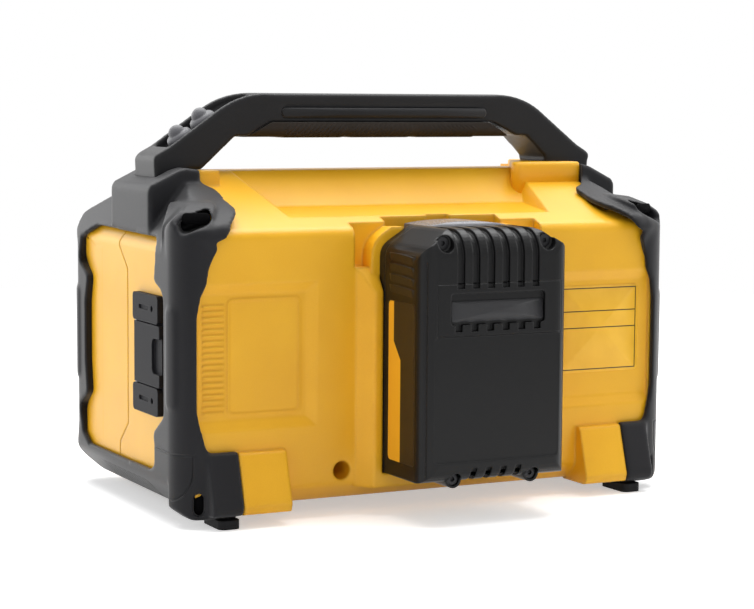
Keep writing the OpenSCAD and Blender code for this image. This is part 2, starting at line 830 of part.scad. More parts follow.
module handle_outline() {
    eased(0, 2) polygon(both_halves(handle_points()));
}

// Direction and length of the sloping outer face
slope_high = bend_centre + bend_r * [sin(slope_angle), cos(slope_angle)];
slope_low = slope_high + (bend_x - slope_high[0]) * [1, -tan(slope_angle)];
slope_dir = (slope_high - slope_low) / norm(slope_high - slope_low);
slope_out = [-slope_dir[1], slope_dir[0]] * -1;

// Band along the sloping face between two depths
function slope_band(depth0, depth1, trim) = [
    slope_low + trim * slope_dir - depth0 * slope_out, slope_high - trim * slope_dir - depth0 * slope_out,
    slope_high - trim * slope_dir - depth1 * slope_out, slope_low + trim * slope_dir - depth1 * slope_out];

module grip_pocket(g = 0) {
    low_z = handle_z - bar_t - 1;
    high_z = handle_z - bar_t + 6.5 + g;
    low_half = grip_l / 2 + 7 + g;
    high_half = grip_l / 2 - 7 + g;
    extrude_y(handle_y - handle_d, handle_y + handle_d) polygon([[-low_half, low_z - over],
        [low_half, low_z - over],
        [low_half, low_z], [high_half, high_z], [-high_half, high_z], [-low_half, low_z]]);
}

module handle() color(black) difference() {
    intersection() {
        extrude_y(handle_y - handle_d / 2, handle_y + handle_d / 2) handle_outline();
        extrude_x(-end_x, end_x) soft_rect([handle_y - handle_d / 2, shoulder_z],
            [handle_y + handle_d / 2, handle_z], 2);
    }
    grip_pocket(0.1);
    // Long shallow panels in the two faces of the bar
    for (s = [-1, 1]) extrude_y(handle_y + s * handle_d / 2 - 0.8, handle_y + s * handle_d / 2 + 0.8)
        soft_rect([-grip_l / 2 + 12, handle_z - 12], [grip_l / 2 - 12, handle_z - 5.5], 2);
    both_ends() extrude_y(handle_y - channel_w / 2, handle_y + channel_w / 2) difference() {
        polygon([slope_low - 9 * slope_out, slope_high - 9 * slope_out, [bar_end_x + 5, handle_z - 9],
            [bar_end_x + 5, handle_z + over], slope_high + over * slope_out, slope_low + over * slope_out]);
        offset(delta = -channel_d) polygon(both_halves(handle_points()));
    }
    handle_screw_bores(screw_r - 0.2 + loose);
}

// Soft insert under the bar, as deep as the bar, with cross grooves
module handle_grip() color(rubber) {
    grooves = 18;
    pitch = grip_l / grooves;
    difference() {
        intersection() {
            grip_pocket();
            extrude_x(-grip_l, grip_l) soft_rect([handle_y - handle_d / 2 - 0.5, handle_z - bar_t - 0.5],
                [handle_y + handle_d / 2 + 0.5, handle_z], 4);
        }
        for (i = [1 : grooves - 1])
            rod_y(-grip_l / 2 + i * pitch, handle_z - bar_t - 1, handle_y - handle_d, handle_y + handle_d, 1);
    }
}

// Rounded buffers that stand in the channels, two at each end
module handle_domes() color(rubber) both_ends() {
    run = norm(slope_high - slope_low);
    for (t = [0.3, 0.73]) {
        place = slope_low + t * run * slope_dir - (dome_r - dome_proud) * slope_out;
        intersection() {
            translate([place[0], handle_y, place[1]]) sphere(r = dome_r, $fn = 40);
            extrude_y(handle_y - channel_w / 2 + 0.2, handle_y + channel_w / 2 - 0.2)
                polygon(slope_band(channel_d - 0.05, -over, 1));
        }
    }
}

module handle_screws() color(steel) both_ends() for (s = [-1, 1])
    translate([handle_screw_x, handle_y + s * handle_screw_off, top_z - wall - 0.05]) {
        cylinder(h = wall + plinth_h + 8, r = screw_r - 0.2, $fn = 32);
        translate([0, 0, -2.5]) cylinder(h = 2.5, r = handle_head_r, $fn = 32);
    }

// Front: perforated grille with a turned-back rim
module grille() color(black) {
    low = [-grille_half + 0.3, grille_low_z + 0.3];
    high = [grille_half - 0.3, grille_high_z - 0.3];
    row_h = mesh_pitch * sqrt(3) / 2;
    rows = floor((high[1] - low[1] - 8) / row_h / 2);
    columns = floor((high[0] - low[0] - 8) / mesh_pitch / 2);
    centre_z = (low[1] + high[1]) / 2;
    difference() {
        extrude_y(front_y + 0.8, front_y + 2) soft_rect(low, high, 7.7);
        for (j = [-rows + 1 : rows - 1], i = [-columns + 1 : columns - 1])
            translate([(i + 0.5 * abs(j % 2)) * mesh_pitch, 0, centre_z + j * row_h]) rotate([90, 30, 0])
                cylinder(h = 400, r = mesh_hole / sqrt(3), center = true, $fn = 6);
    }
    extrude_y(front_y + 1.8, baffle_y - 0.05) difference() {
        soft_rect(low, high, 7.7);
        soft_rect(low + [1.2, 1.2], high - [1.2, 1.2], 6.5);
    }
}

module baffle() color(black) difference() {
    extrude_y(baffle_y, baffle_back_y)
        soft_rect([-baffle_half, grille_low_z - 3.5], [baffle_half, grille_high_z + 3.5], 6);
    for (s = [-1, 1]) {
        rod_y(s * driver_x, driver_z, baffle_y - 1, baffle_back_y + 1, basket_r + 1);
        driver_screw_places(s) rod_y(0, 0, baffle_y + 1, baffle_back_y + 1, 1.4);
    }
    for (x = [-baffle_post_x, baffle_post_x], z = baffle_post_z)
        rod_y(x, z, baffle_y - 1, baffle_back_y + 1, 3.7);
}

module baffle_screws() color(steel) for (x = [-baffle_post_x, baffle_post_x], z = baffle_post_z)
    screw_along_y(x, z, baffle_back_y + 0.05, baffle_t + wall - 1.5, 1.2, 4.4, 2);

// Drivers: turned parts round an axis along Y
module turned(side) {
    translate([side * driver_x, 0, driver_z]) rotate([-90, 0, 0]) rotate_extrude($fn = 72) children();
}

module driver_screw_places(side) {
    for (a = [45 : 90 : 315])
        translate([side * driver_x + driver_screw_r * cos(a), 0, driver_z + driver_screw_r * sin(a)]) children();
}

module driver_basket(side) color(steel) difference() {
    turned(side) polygon([[basket_r, flange_y], [driver_r, flange_y], [driver_r, flange_back_y],
        [basket_r + 2, flange_back_y], [basket_r - 5, basket_back_y], [coil_r + 2.2, basket_back_y],
        [coil_r + 2.2, basket_back_y - 2], [basket_r - 6.8, basket_back_y - 2], [basket_r, flange_y + 4]]);
    for (a = [0 : 90 : 270]) translate([side * driver_x, 0, driver_z]) rotate([0, a, 0])
        box([basket_r - 18, flange_back_y + 3, -12], [basket_r + 10, basket_back_y - 5, 12]);
    driver_screw_places(side) rod_y(0, 0, flange_y - 1, flange_back_y + 1, 1.5);
}

module driver_motor(side) color(black) turned(side) polygon([
    [0, motor_back_y], [cone_r + 1, motor_back_y], [cone_r + 1, basket_back_y + 0.1],
    [coil_r + 1.6, basket_back_y + 0.1], [coil_r + 1.6, motor_back_y - 6], [coil_r - 0.8, motor_back_y - 6],
    [coil_r - 0.8, basket_back_y - 0.6], [0, basket_back_y - 0.6]]);

module driver_spider(side) color([0.75, 0.6, 0.3]) turned(side)
    translate([coil_r + coil_t + 0.4, flange_y + 17.8]) square([basket_r - 4.9 - coil_r - coil_t - 0.4, 0.9]);

module driver_surround(side) color(rubber) turned(side) polygon(concat(
    [[cone_r + 0.3, flange_y + 0.9]], arc([(cone_r + basket_r) / 2, flange_y + 0.9], 3.2, 180, 360, 12),
    [[basket_r - 0.2, flange_y + 0.9], [basket_r - 0.2, flange_y + 2.1]],
    arc([(cone_r + basket_r) / 2, flange_y + 2.1], 3, 360, 180, 12), [[cone_r + 0.3, flange_y + 2.1]]));

// Paper cone with its dust cap and coil former
module driver_cone(side) color([0.2, 0.2, 0.2]) turned(side) polygon([
    [coil_r, basket_back_y + 8], [coil_r + coil_t, basket_back_y + 8], [coil_r + coil_t, flange_y + 15],
    [cone_r, flange_y + 2.1], [cone_r, flange_y + 0.9], [coil_r + 1, flange_y + 13.2],
    [coil_r - 2.4, flange_y + 10.6], [coil_r * 0.4, flange_y + 9.2], [0, flange_y + 8.8], [0, flange_y + 9.6],
    [coil_r * 0.4, flange_y + 10], [coil_r - 2.8, flange_y + 11.4], [coil_r, flange_y + 14]]);

module driver_basket_right() driver_basket(1);
module driver_basket_left() driver_basket(-1);
module driver_motor_right() driver_motor(1);
module driver_motor_left() driver_motor(-1);
module driver_spider_right() driver_spider(1);
module driver_spider_left() driver_spider(-1);
module driver_surround_right() driver_surround(1);
module driver_surround_left() driver_surround(-1);
module driver_cone_right() driver_cone(1);
module driver_cone_left() driver_cone(-1);

module driver_screws() color(steel) for (side = [-1, 1]) driver_screw_places(side)
    screw_along_y(0, 0, flange_back_y + 0.05, flange_back_y - flange_y + 2.4, 1.3, 2.4, 1.6);

// Control strip over the grille
function button_x(i) = (i - (button_count - 1) / 2) * button_pitch;

module control_panel() color(black) difference() {
    union() {
        extrude_y(front_y, front_in_y + 0.2)
            soft_rect([-panel_half + fit, panel_low_z + fit], [panel_half - fit, panel_high_z - fit],
                4 - fit);
        extrude_y(front_in_y + 0.2, panel_back_y)
            soft_rect([-panel_half - panel_rim, panel_low_z - panel_rim + 0.3],
                [panel_half + panel_rim, panel_high_z + 1], 4);
        for (x = [-panel_half + 1, panel_half - 1]) rod_y(x, button_z, panel_back_y - 1, board_y - 0.05, 2);
    }
    for (i = [0 : button_count - 1])
        extrude_y(front_y - 1, panel_back_y + 1)
            soft_rect([button_x(i) - button_w / 2 - 0.3, button_z - button_h / 2 - 0.3],
                [button_x(i) + button_w / 2 + 0.3, button_z + button_h / 2 + 0.3], 2.3);
    rod_y(0, panel_high_z - 1.6, front_y - 1, panel_back_y + 1, 0.9);
}

module status_light() color([0.3, 0.6, 1])
    rod_y(0, panel_high_z - 1.6, front_y + 0.1, panel_back_y + 0.5, 0.8);

module button(i) color(rubber) {
    low = [button_x(i) - button_w / 2, button_z - button_h / 2];
    high = [button_x(i) + button_w / 2, button_z + button_h / 2];
    extrude_y(front_y - 1.2, button_back_y) soft_rect(low, high, 2);
    extrude_y(panel_back_y + 0.3, button_back_y)
        soft_rect(low - [button_flange, button_flange], high + [button_flange, button_flange], 2);
}

module power_button() button(0);
module pairing_button() button(1);
module source_button() button(2);
module previous_button() button(3);
module play_button() button(4);
module next_button() button(5);
module volume_down_button() button(6);
module volume_up_button() button(7);

// Board behind the buttons, with one switch for each
module button_board() color(green) {
    box([-panel_half - 1, board_y, panel_low_z], [panel_half + 1, board_y + board_t, panel_high_z]);
    for (i = [0 : button_count - 1])
        box([button_x(i) - 3, switch_y, button_z - 3], [button_x(i) + 3, board_y + 0.1, button_z + 3]);
}

// Amplifier board on posts behind the dock, with its heat sink
board_face_y = dock_floor_y - catch_d - wall - 7;
board_low_z = rail_low_z + 6;
board_high_z = board_low_z + 64;
board_half = rail_w / 2 + 2;
board_places = [for (x = [-board_half + 5, board_half - 5], z = [board_low_z + 5, board_high_z - 5])
    [dock_x + x, z]];

module board_posts() {
    difference() {
        for (p = board_places) rod_y(p[0], p[1], board_face_y + board_t + 0.05, board_face_y + 7.5, 3.5);
        board_screw_bores();
    }
}

module board_screw_bores() {
    for (p = board_places) rod_y(p[0], p[1], board_face_y - 1, board_face_y + 9, 1.4);
}

module main_board() color(green) difference() {
    box([dock_x - board_half, board_face_y, board_low_z],
        [dock_x + board_half, board_face_y + board_t, board_high_z]);
    for (p = board_places) rod_y(p[0], p[1], board_face_y - 1, board_face_y + board_t + 1, 1.5);
}

module heat_sink() color(steel) {
    fins = 7;
    low_z = board_low_z + 14;
    box([dock_x - 20, board_face_y - 3, low_z], [dock_x + 20, board_face_y - 0.05, low_z + 36]);
    for (i = [0 : fins - 1])
        box([dock_x - 20 + i * 38 / (fins - 1), board_face_y - 16, low_z],
            [dock_x - 18 + i * 38 / (fins - 1), board_face_y - 2.9, low_z + 36]);
}

module board_screws() color(steel) for (p = board_places) {
    rod_y(p[0], p[1], board_face_y - 0.1, board_face_y + 8, 1.2);
    rod_y(p[0], p[1], board_face_y - 2.1, board_face_y - 0.05, 2.6);
}

// Sockets in the end panel: pocket with two fixed tabs that carry the hinge pin
module port_housing() color(rubber) difference() {
    union() {
        box([pocket_x - pocket_t, pocket_y[0] - pocket_t, pocket_z[0] - pocket_t],
            [end_x + 0.5, pocket_y[1] + pocket_t, pocket_z[1] + pocket_t]);
        extrude_x(end_x + 0.05, end_x + plate_t) soft_rect([port_y - 2, port_low_z - tab_h],
            [port_y + flap_w - 2, port_high_z + tab_h], 2);
        for (z = [port_low_z - tab_h, port_high_z + 0.4])
            difference() {
                extrude_x(end_x + 0.05, end_x + tab_t) soft_rect([port_y - 2, z],
                    [port_y + flap_w - 2, z + tab_h - 0.4], 2);
                extrude_x(end_x + tab_t - 0.8, end_x + over)
                    soft_rect([port_y + 6, z + tab_h / 2 - 1], [port_y + flap_w - 13, z + tab_h / 2 + 1],
                        0.9);
                rod_x(port_y + flap_w - 9, z + tab_h / 2, end_x + tab_t - 1.2, end_x + over, 1.4);
            }
    }
    box([pocket_x, pocket_y[0], pocket_z[0]], [end_x + over, pocket_y[1], pocket_z[1]]);
    translate([pin_x, port_y, port_low_z - tab_h + 3])
        cylinder(h = flap_h + 2 * tab_h - 6, r = pin_r + 0.03, $fn = 32);
    box([pocket_x - over, usb_y - usb[1] / 2 - fit, port_z - usb[2] / 2 - fit],
        [pocket_x + 1, usb_y + usb[1] / 2 + fit, port_z + usb[2] / 2 + fit]);
    rod_x(jack_y, port_z, pocket_x - over, pocket_x + 1, jack_body_r + fit);
}

module hinge_pin() color(steel)
    translate([pin_x, port_y, port_low_z - tab_h + 3.2])
        cylinder(h = flap_h + 2 * tab_h - 6.4, r = pin_r, $fn = 32);

// Flap over the sockets, with a finger notch in its free edge
module port_cover() color(rubber) difference() {
    union() {
        extrude_x(flap_x, flap_x + flap_t) soft_rect([port_y, port_low_z + 0.2],
            [port_y + flap_w, port_high_z - 0.2], 1.5);
        translate([pin_x, port_y, port_low_z + 0.2]) cylinder(h = flap_h - 0.4, r = barrel_r, $fn = 40);
    }
    translate([pin_x, port_y, port_low_z - 1]) cylinder(h = flap_h + 2, r = pin_r + 0.06, $fn = 32);
    box([flap_x - 1, port_y - over, port_low_z - 1], [pin_x, port_y, port_high_z + 1]);
    extrude_x(flap_x + 0.9, flap_x + over)
        soft_rect([port_y + flap_w - 9, port_z - 8], [port_y + flap_w + over, port_z + 8], 3);
}

module usb_socket() color(steel) {
    low = [socket_back_x, usb_y - usb[1] / 2, port_z - usb[2] / 2];
    high = [socket_back_x + usb[0], usb_y + usb[1] / 2, port_z + usb[2] / 2];
    difference() {
        box(low, high);
        box(low + [2, 0.4, 0.4], high + [1, -0.4, -0.4]);
    }
    box([low[0] + 1, usb_y + 0.2, low[2] + 1], [high[0] - 1, usb_y + 2, high[2] - 1]);
}

module aux_jack() color(black) difference() {
    union() {
        rod_x(jack_y, port_z, socket_back_x, pocket_x + 2, jack_body_r);
        box([socket_back_x, jack_y - 4, port_z - 4], [pocket_x - pocket_t - 0.1, jack_y + 4, port_z + 4]);
    }
    rod_x(jack_y, port_z, pocket_x + 2 - jack_depth, pocket_x + 3, jack_r);
}

module port_board() color(green)
    box([socket_back_x - board_t - 0.05, pocket_y[0], pocket_z[0]], [socket_back_x - 0.05, pocket_y[1],
        pocket_z[1]]);

// Dock contacts
module terminal_block() color(black) difference() {
    box([dock_x - neck_w / 2 + 1, dock_floor_y + 0.1, rail_low_z - 11.9],
        [dock_x + neck_w / 2 - 1, dock_face_y - 1, rail_low_z - 0.3]);
    for (x = blade_places) box([dock_x + x - blade_t / 2, dock_floor_y + 3.9, rail_low_z - 9],
        [dock_x + x + blade_t / 2, dock_floor_y + 8.1, rail_low_z]);
}

module terminal_blades() color([0.8, 0.65, 0.3]) for (x = blade_places)
    box([dock_x + x - blade_t / 2, dock_floor_y + 4, rail_low_z - 9],
        [dock_x + x + blade_t / 2, dock_floor_y + 8, rail_low_z + 14]);

// Leads from the board to the drivers, the buttons, the sockets and the dock
lead_r = 1.1;

// A lead is one cubic curve from p to s, steered by q and r
module lead(p, q, r, s) {
    steps = 14;
    curve = [for (k = [0 : steps]) let (t = k / steps, u = 1 - t)
        u * u * u * p + 3 * u * u * t * q + 3 * u * t * t * r + t * t * t * s];
    swept_wire(curve, lead_r, 8, [1, 0, 0.9]);
}

module wiring() color([0.6, 0.1, 0.1]) {
    end_y = board_face_y - 0.1;
    for (s = [-1, 1]) lead([s * (driver_x - cone_r - 1.8), motor_back_y - 9, driver_z],
        [s * 10, motor_back_y, driver_z], [dock_x + s * 25, end_y - 40, board_high_z - 10],
        [dock_x + s * 25, end_y, board_high_z - 10]);
    lead([0, board_y + board_t + 0.1, button_z], [0, board_y + 40, button_z + 6],
        [dock_x, end_y - 40, board_high_z + 4], [dock_x, end_y, board_high_z - 5]);
    lead([socket_back_x - board_t - 0.1, port_y + 14, port_z], [socket_back_x - 50, port_y + 14, port_z],
        [dock_x + board_half - 4, end_y - 30, port_z + 4], [dock_x + board_half - 4, end_y, port_z + 4]);
    lead([dock_x, dock_floor_y, rail_low_z - 7], [dock_x, end_y - 34, rail_low_z - 7],
        [dock_x, end_y - 22, board_low_z + 6], [dock_x, end_y, board_low_z + 6]);
}

// Battery pack

// Outline of the pack from behind, with its two sloping top corners
module pack_outline(g = 0) {
    half = pack_w / 2;
    translate([dock_x, 0]) eased(g, 8) polygon(both_halves([
        [half, pack_z - over], [half, pack_top_z - pack_corner], [half - 15, pack_top_z]]));
}

// Outside of the pack, shrunk by g: rounded most along its upper rear edge
module pack_form(g = 0) {
    half = pack_w / 2 - g;
    high_r = 12;
    low_r = 7;
    intersection() {
        translate([dock_x, 0, pack_z - over]) linear_extrude(pack_h + 2 * over)
            polygon(both_halves(concat([[0, pack_face_y + g], [half, pack_face_y + g]],
                arc([half - 8 + g, back_y - 8], 8 - g, 0, 90, 8), [[0, back_y - g]])));
        extrude_x(dock_x - half, dock_x + half) polygon(concat(
            [[pack_face_y + g, pack_top_z - g], [pack_face_y + g, pack_z + g]],
            arc([back_y - low_r, pack_z + low_r], low_r - g, -90, 0, 6),
            arc([back_y - high_r, pack_top_z - high_r], high_r - g, 0, 90, 10)));
        extrude_y(pack_face_y, back_y) pack_outline(-g);
    }
}

// Room for the cells
module cell_bay() {
    box([dock_x - bay_w / 2, pack_face_y + case_t, pack_z + case_t],
        [dock_x + bay_w / 2, back_y - case_t, bay_top_z]);
}

module release_pocket(g) {
    box([dock_x - 20 - g, dock_floor_y, button_low_z - release_travel - 0.7],
        [dock_x + 20 + g, pack_split_y + 10 + g, pack_top_z + over]);
}

screw_side = [pack_w / 2 - 11.5, pack_w / 2 - 17.5];
window_half = pack_w / 2 - 13.5;
flute_pitch = (window_half - 5) / 2.5;
notch_pitch = (window_half - 4) / 2.5;
pack_screw_places = [[-screw_side[0], pack_top_z - 6], [screw_side[0], pack_top_z - 6],
    [-screw_side[1], pack_z + 1], [screw_side[1], pack_z + 1]];

// Panels let into the two sides
module side_panel(g) {
    for (s = [-1, 1]) translate([dock_x + s * (pack_w / 2 - 0.4), 0, 0])
        extrude_x(-0.4 - g, 0.4 + g + (g > 0 ? 1 : 0)) soft_rect([pack_split_y + 4 - g, pack_z + 7 - g],
            [back_y - 9 + g, pack_top_z - 33 + g], 2);
}

module pack_case() color(black) difference() {
    union() {
        intersection() {
            pack_form();
            box([dock_x - pack_w, pack_split_y, 0], [dock_x + pack_w, back_y + 1, pack_top_z + over]);
        }
        for (p = [pack_screw_places[2], pack_screw_places[3]]) rod_y(dock_x + p[0], p[1],
            pack_split_y, back_y - 4, 4);
    }
    cell_bay();
    release_pocket(0.3);
    for (p = pack_screw_places) {
        rod_y(dock_x + p[0], p[1], pack_split_y - 1, back_y + 1, 1.5);
        rod_y(dock_x + p[0], p[1], back_y - 7, back_y + 1, 3);
    }
    for (p = [pack_screw_places[0], pack_screw_places[1]]) rod_y(dock_x + p[0], p[1],
        back_y - 5, back_y + 1, 4);
    // Flutes over the upper rear edge
    difference() {
        for (i = [-2.5 : 2.5])
            box([dock_x + i * flute_pitch - 1.8, back_y - 22, pack_top_z - 26],
                [dock_x + i * flute_pitch + 1.8, back_y + 1, pack_top_z + 1]);
        pack_form(1.6);
    }
    // Short flutes under the lower rear edge
    difference() {
        for (i = [-1.5 : 1.5])
            box([dock_x + i * flute_pitch - 1.5, back_y - 16, pack_z - 1],
                [dock_x + i * flute_pitch + 1.5, back_y + 1, pack_z + 6]);
        pack_form(1.3);
    }
    // Window with a castellated lower edge, and the field below it
    extrude_y(back_y - 1.8, back_y + 1) soft_rect([dock_x - window_half, pack_z + 70],
        [dock_x + window_half, pack_z + 84], 1.5);
    for (i = [-2.5 : 2.5])
        box([dock_x + i * notch_pitch - 1.8, back_y - 1.8, pack_z + 67],
            [dock_x + i * notch_pitch + 1.8, back_y + 1, pack_z + 71]);
    extrude_y(back_y - 0.5, back_y + 1) soft_rect([dock_x - pack_w / 2 + 5.5, pack_z + 9],
        [dock_x + pack_w / 2 - 5.5, pack_z + 65], 2);
    side_panel_cuts();
}

module side_panel_cuts() {
    side_panel(0.1);
}

module pack_side_panels() color([0.2, 0.16, 0.1]) side_panel(0);

// Front half of the pack with its rail, release slot and contact slots
module pack_cover() color(black) difference() {
    union() {
        intersection() {
            pack_form();
            box([dock_x - pack_w, pack_face_y, 0], [dock_x + pack_w, pack_split_y - 0.05, pack_top_z + over]);
        }
        box([dock_x - neck_w / 2, dock_floor_y + rail_play, rail_low_z],
            [dock_x + neck_w / 2, pack_face_y + 1, rail_top_z]);
        box([dock_x - rail_w / 2, dock_floor_y + rail_play, rail_low_z],
            [dock_x + rail_w / 2, dock_lip_y - rail_play, rail_top_z]);
    }
    cell_bay();
    difference() {
        box([dock_x - neck_w / 2 + 3, dock_floor_y + 2.5, rail_low_z + 2],
            [dock_x + neck_w / 2 - 3, pack_face_y + case_t + 1, rail_top_z - 9]);
        box([dock_x - 7, dock_floor_y, hook_low_z - 3], [dock_x + 7, pack_face_y + 5, hook_low_z - 0.3]);
    }
    release_pocket(0.3);
    box([dock_x - hook_w / 2 - 0.3, dock_floor_y - 1, hook_low_z - 0.3],
        [dock_x + hook_w / 2 + 0.3, dock_floor_y + 3, hook_low_z + 9]);
    box([dock_x - hook_w / 2 - 0.3, dock_floor_y + 2.6, hook_low_z],
        [dock_x + hook_w / 2 + 0.3, dock_floor_y + 7, pack_top_z]);
    for (s = [-1, 1]) translate([dock_x + s * spring_x, spring_y, spring_low_z])
        cylinder(h = over, r = spring_coil_r + 0.9, $fn = 32);
    for (x = blade_places) box([dock_x + x - 0.9, dock_floor_y + 3.6, rail_low_z - 1],
        [dock_x + x + 0.9, dock_floor_y + 8.4, rail_low_z + 3]);
    for (p = pack_screw_places) if (p[1] < pack_top_z) rod_y(dock_x + p[0], p[1],
        pack_face_y + 2, pack_split_y + 1, 1.25);
}

module pack_screws() color(steel) for (p = pack_screw_places)
    screw_along_y(dock_x + p[0], p[1], back_y - 6.95, back_y - 7 - pack_split_y + 2, 1.2, 2.8, 2);

module at_cells() {
    for (i = [0 : cells_high - 1], j = [0, 1])
        translate([dock_x, cell_y + j * cell_pitch, cell_low_z + i * cell_pitch]) rotate([0, 90, 0]) children();
}

module pack_cells() color([0.2, 0.5, 0.35]) at_cells()
    cylinder(h = cell_l, r = cell_dia / 2, center = true, $fn = 40);

// End plates that hold the cells, open over the terminals
module cell_holder() color([0.85, 0.85, 0.8]) difference() {
    for (s = [-1, 1]) translate([dock_x + s * (cell_l / 2 + 1.2), 0, 0])
        box([-1, cell_y - cell_dia / 2 - 0.1, cell_low_z - cell_dia / 2 - 0.1],
            [1, cell_y + cell_pitch + cell_dia / 2 + 0.1, cell_top_z + 0.1]);
    at_cells() cylinder(h = cell_l + 20, r = 5, center = true, $fn = 32);
}

module pack_board() color(green)
    box([dock_x - neck_w / 2 + 3.2, dock_floor_y + 11, rail_low_z + 4],
        [dock_x + neck_w / 2 - 3.2, dock_floor_y + 12.4, hook_low_z - 6]);

// Spring clips that the dock's blades enter
module pack_contacts() color([0.8, 0.65, 0.3]) for (x = blade_places) translate([dock_x + x, 0, 0])
    difference() {
    box([-1.5, dock_floor_y + 3.4, rail_low_z + 4], [1.5, dock_floor_y + 10.95, rail_low_z + 17]);
    box([-blade_t / 2 - 0.2, dock_floor_y + 2, rail_low_z + 3],
        [blade_t / 2 + 0.2, dock_floor_y + 8.6, rail_low_z + 18]);
}

// Release: the button's tongue has a ramp that draws the hook back as it goes down
module release_button() color([0.3, 0.3, 0.31]) {
    difference() {
        intersection() {
            extrude_x(dock_x - 20, dock_x + 20) polygon(concat(
                [[dock_floor_y + 4, button_low_z], [pack_split_y + 10, button_low_z]],
                arc([pack_split_y + 6, button_top_z - 4], 4, 0, 90, 6),
                arc([dock_floor_y + 8, button_top_z - 4], 4, 90, 180, 6)));
            translate([dock_x, 0, button_top_z - 110]) rotate([-90, 0, 0])
                cylinder(h = back_y, r = 110, $fn = 360);
        }
        for (s = [-1, 1]) translate([dock_x + s * spring_x, spring_y, button_low_z - 1])
            cylinder(h = 2, r = spring_coil_r + 0.9, $fn = 32);
    }
    extrude_x(dock_x - hook_w / 2, dock_x + hook_w / 2) polygon([
        [dock_floor_y + 3, button_low_z + 1], [dock_floor_y + 6.5, button_low_z + 1],
        [dock_floor_y + 6.5, hook_low_z + 12.2], [dock_floor_y + 3, hook_low_z + 8.7]]);
}

module latch_hook() color(steel) extrude_x(dock_x - hook_w / 2, dock_x + hook_w / 2) polygon([
    [dock_floor_y - 3, hook_low_z], [dock_floor_y - 3, hook_low_z + 2],
    [dock_floor_y + 7.5, hook_low_z + 12.5], [dock_floor_y + 9, hook_low_z + 12.5],
        [dock_floor_y + 9, hook_low_z]]);

// Springs under the button: a round wire carried along a helix
module coil_spring(length) {
    steps = spring_turns * 8;
    helix = [for (k = [0 : steps]) let (t = k / steps, a = 360 * spring_turns * t)
        [spring_coil_r * cos(a), spring_coil_r * sin(a), spring_wire / 2 + t * (length - spring_wire)]];
    swept_wire(helix, spring_wire / 2, 6, [0, 0, 1]);
}

module release_springs() color(steel) for (s = [-1, 1])
    translate([dock_x + s * spring_x, spring_y, spring_low_z + 0.1])
        coil_spring(button_low_z + 1 - spring_low_z - 0.2);

front_shell();
rear_shell();
housing_seal();
bumper_right();
bumper_left();
foot_pads();
housing_screws();
handle();
handle_grip();
handle_domes();
handle_screws();
grille();
baffle();
baffle_screws();
driver_basket_right();
driver_basket_left();
driver_motor_right();
driver_motor_left();
driver_spider_right();
driver_spider_left();
driver_surround_right();
driver_surround_left();
driver_cone_right();
driver_cone_left();
driver_screws();
control_panel();
status_light();
button_board();
main_board();
heat_sink();
board_screws();
port_housing();
port_cover();
hinge_pin();
usb_socket();
aux_jack();
port_board();
wiring();
terminal_block();
terminal_blades();
pack_case();
pack_cover();
pack_side_panels();
pack_screws();
pack_cells();
cell_holder();
pack_board();
pack_contacts();
release_button();
latch_hook();
release_springs();
power_button();
pairing_button();
source_button();
previous_button();
play_button();
next_button();
volume_down_button();
volume_up_button();
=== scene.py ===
import json
import math

import bmesh
import bpy
import numpy as np
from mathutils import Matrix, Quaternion, Vector


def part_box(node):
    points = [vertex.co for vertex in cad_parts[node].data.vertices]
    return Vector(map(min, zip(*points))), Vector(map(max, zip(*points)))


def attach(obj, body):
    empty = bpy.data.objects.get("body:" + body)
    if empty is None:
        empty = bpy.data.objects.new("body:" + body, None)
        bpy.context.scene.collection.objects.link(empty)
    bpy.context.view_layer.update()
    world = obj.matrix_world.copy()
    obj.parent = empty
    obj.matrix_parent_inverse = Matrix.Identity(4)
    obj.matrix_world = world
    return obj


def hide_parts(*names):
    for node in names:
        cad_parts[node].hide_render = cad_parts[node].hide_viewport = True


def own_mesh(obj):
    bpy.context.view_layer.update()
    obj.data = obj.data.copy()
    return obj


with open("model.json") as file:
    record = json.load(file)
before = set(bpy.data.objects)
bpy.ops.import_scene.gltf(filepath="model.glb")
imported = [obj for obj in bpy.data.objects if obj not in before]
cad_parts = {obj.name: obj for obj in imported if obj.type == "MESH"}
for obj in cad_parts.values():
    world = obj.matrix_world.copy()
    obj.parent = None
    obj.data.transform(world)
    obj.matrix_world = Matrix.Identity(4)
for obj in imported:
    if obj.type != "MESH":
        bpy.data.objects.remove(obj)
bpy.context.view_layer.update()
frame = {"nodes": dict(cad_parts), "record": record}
cadNodes = frame["nodes"]
scene = bpy.context.scene
scene.view_settings.view_transform = "Standard"


# Sockets with arithmetic, so that shader maths reads as expressions

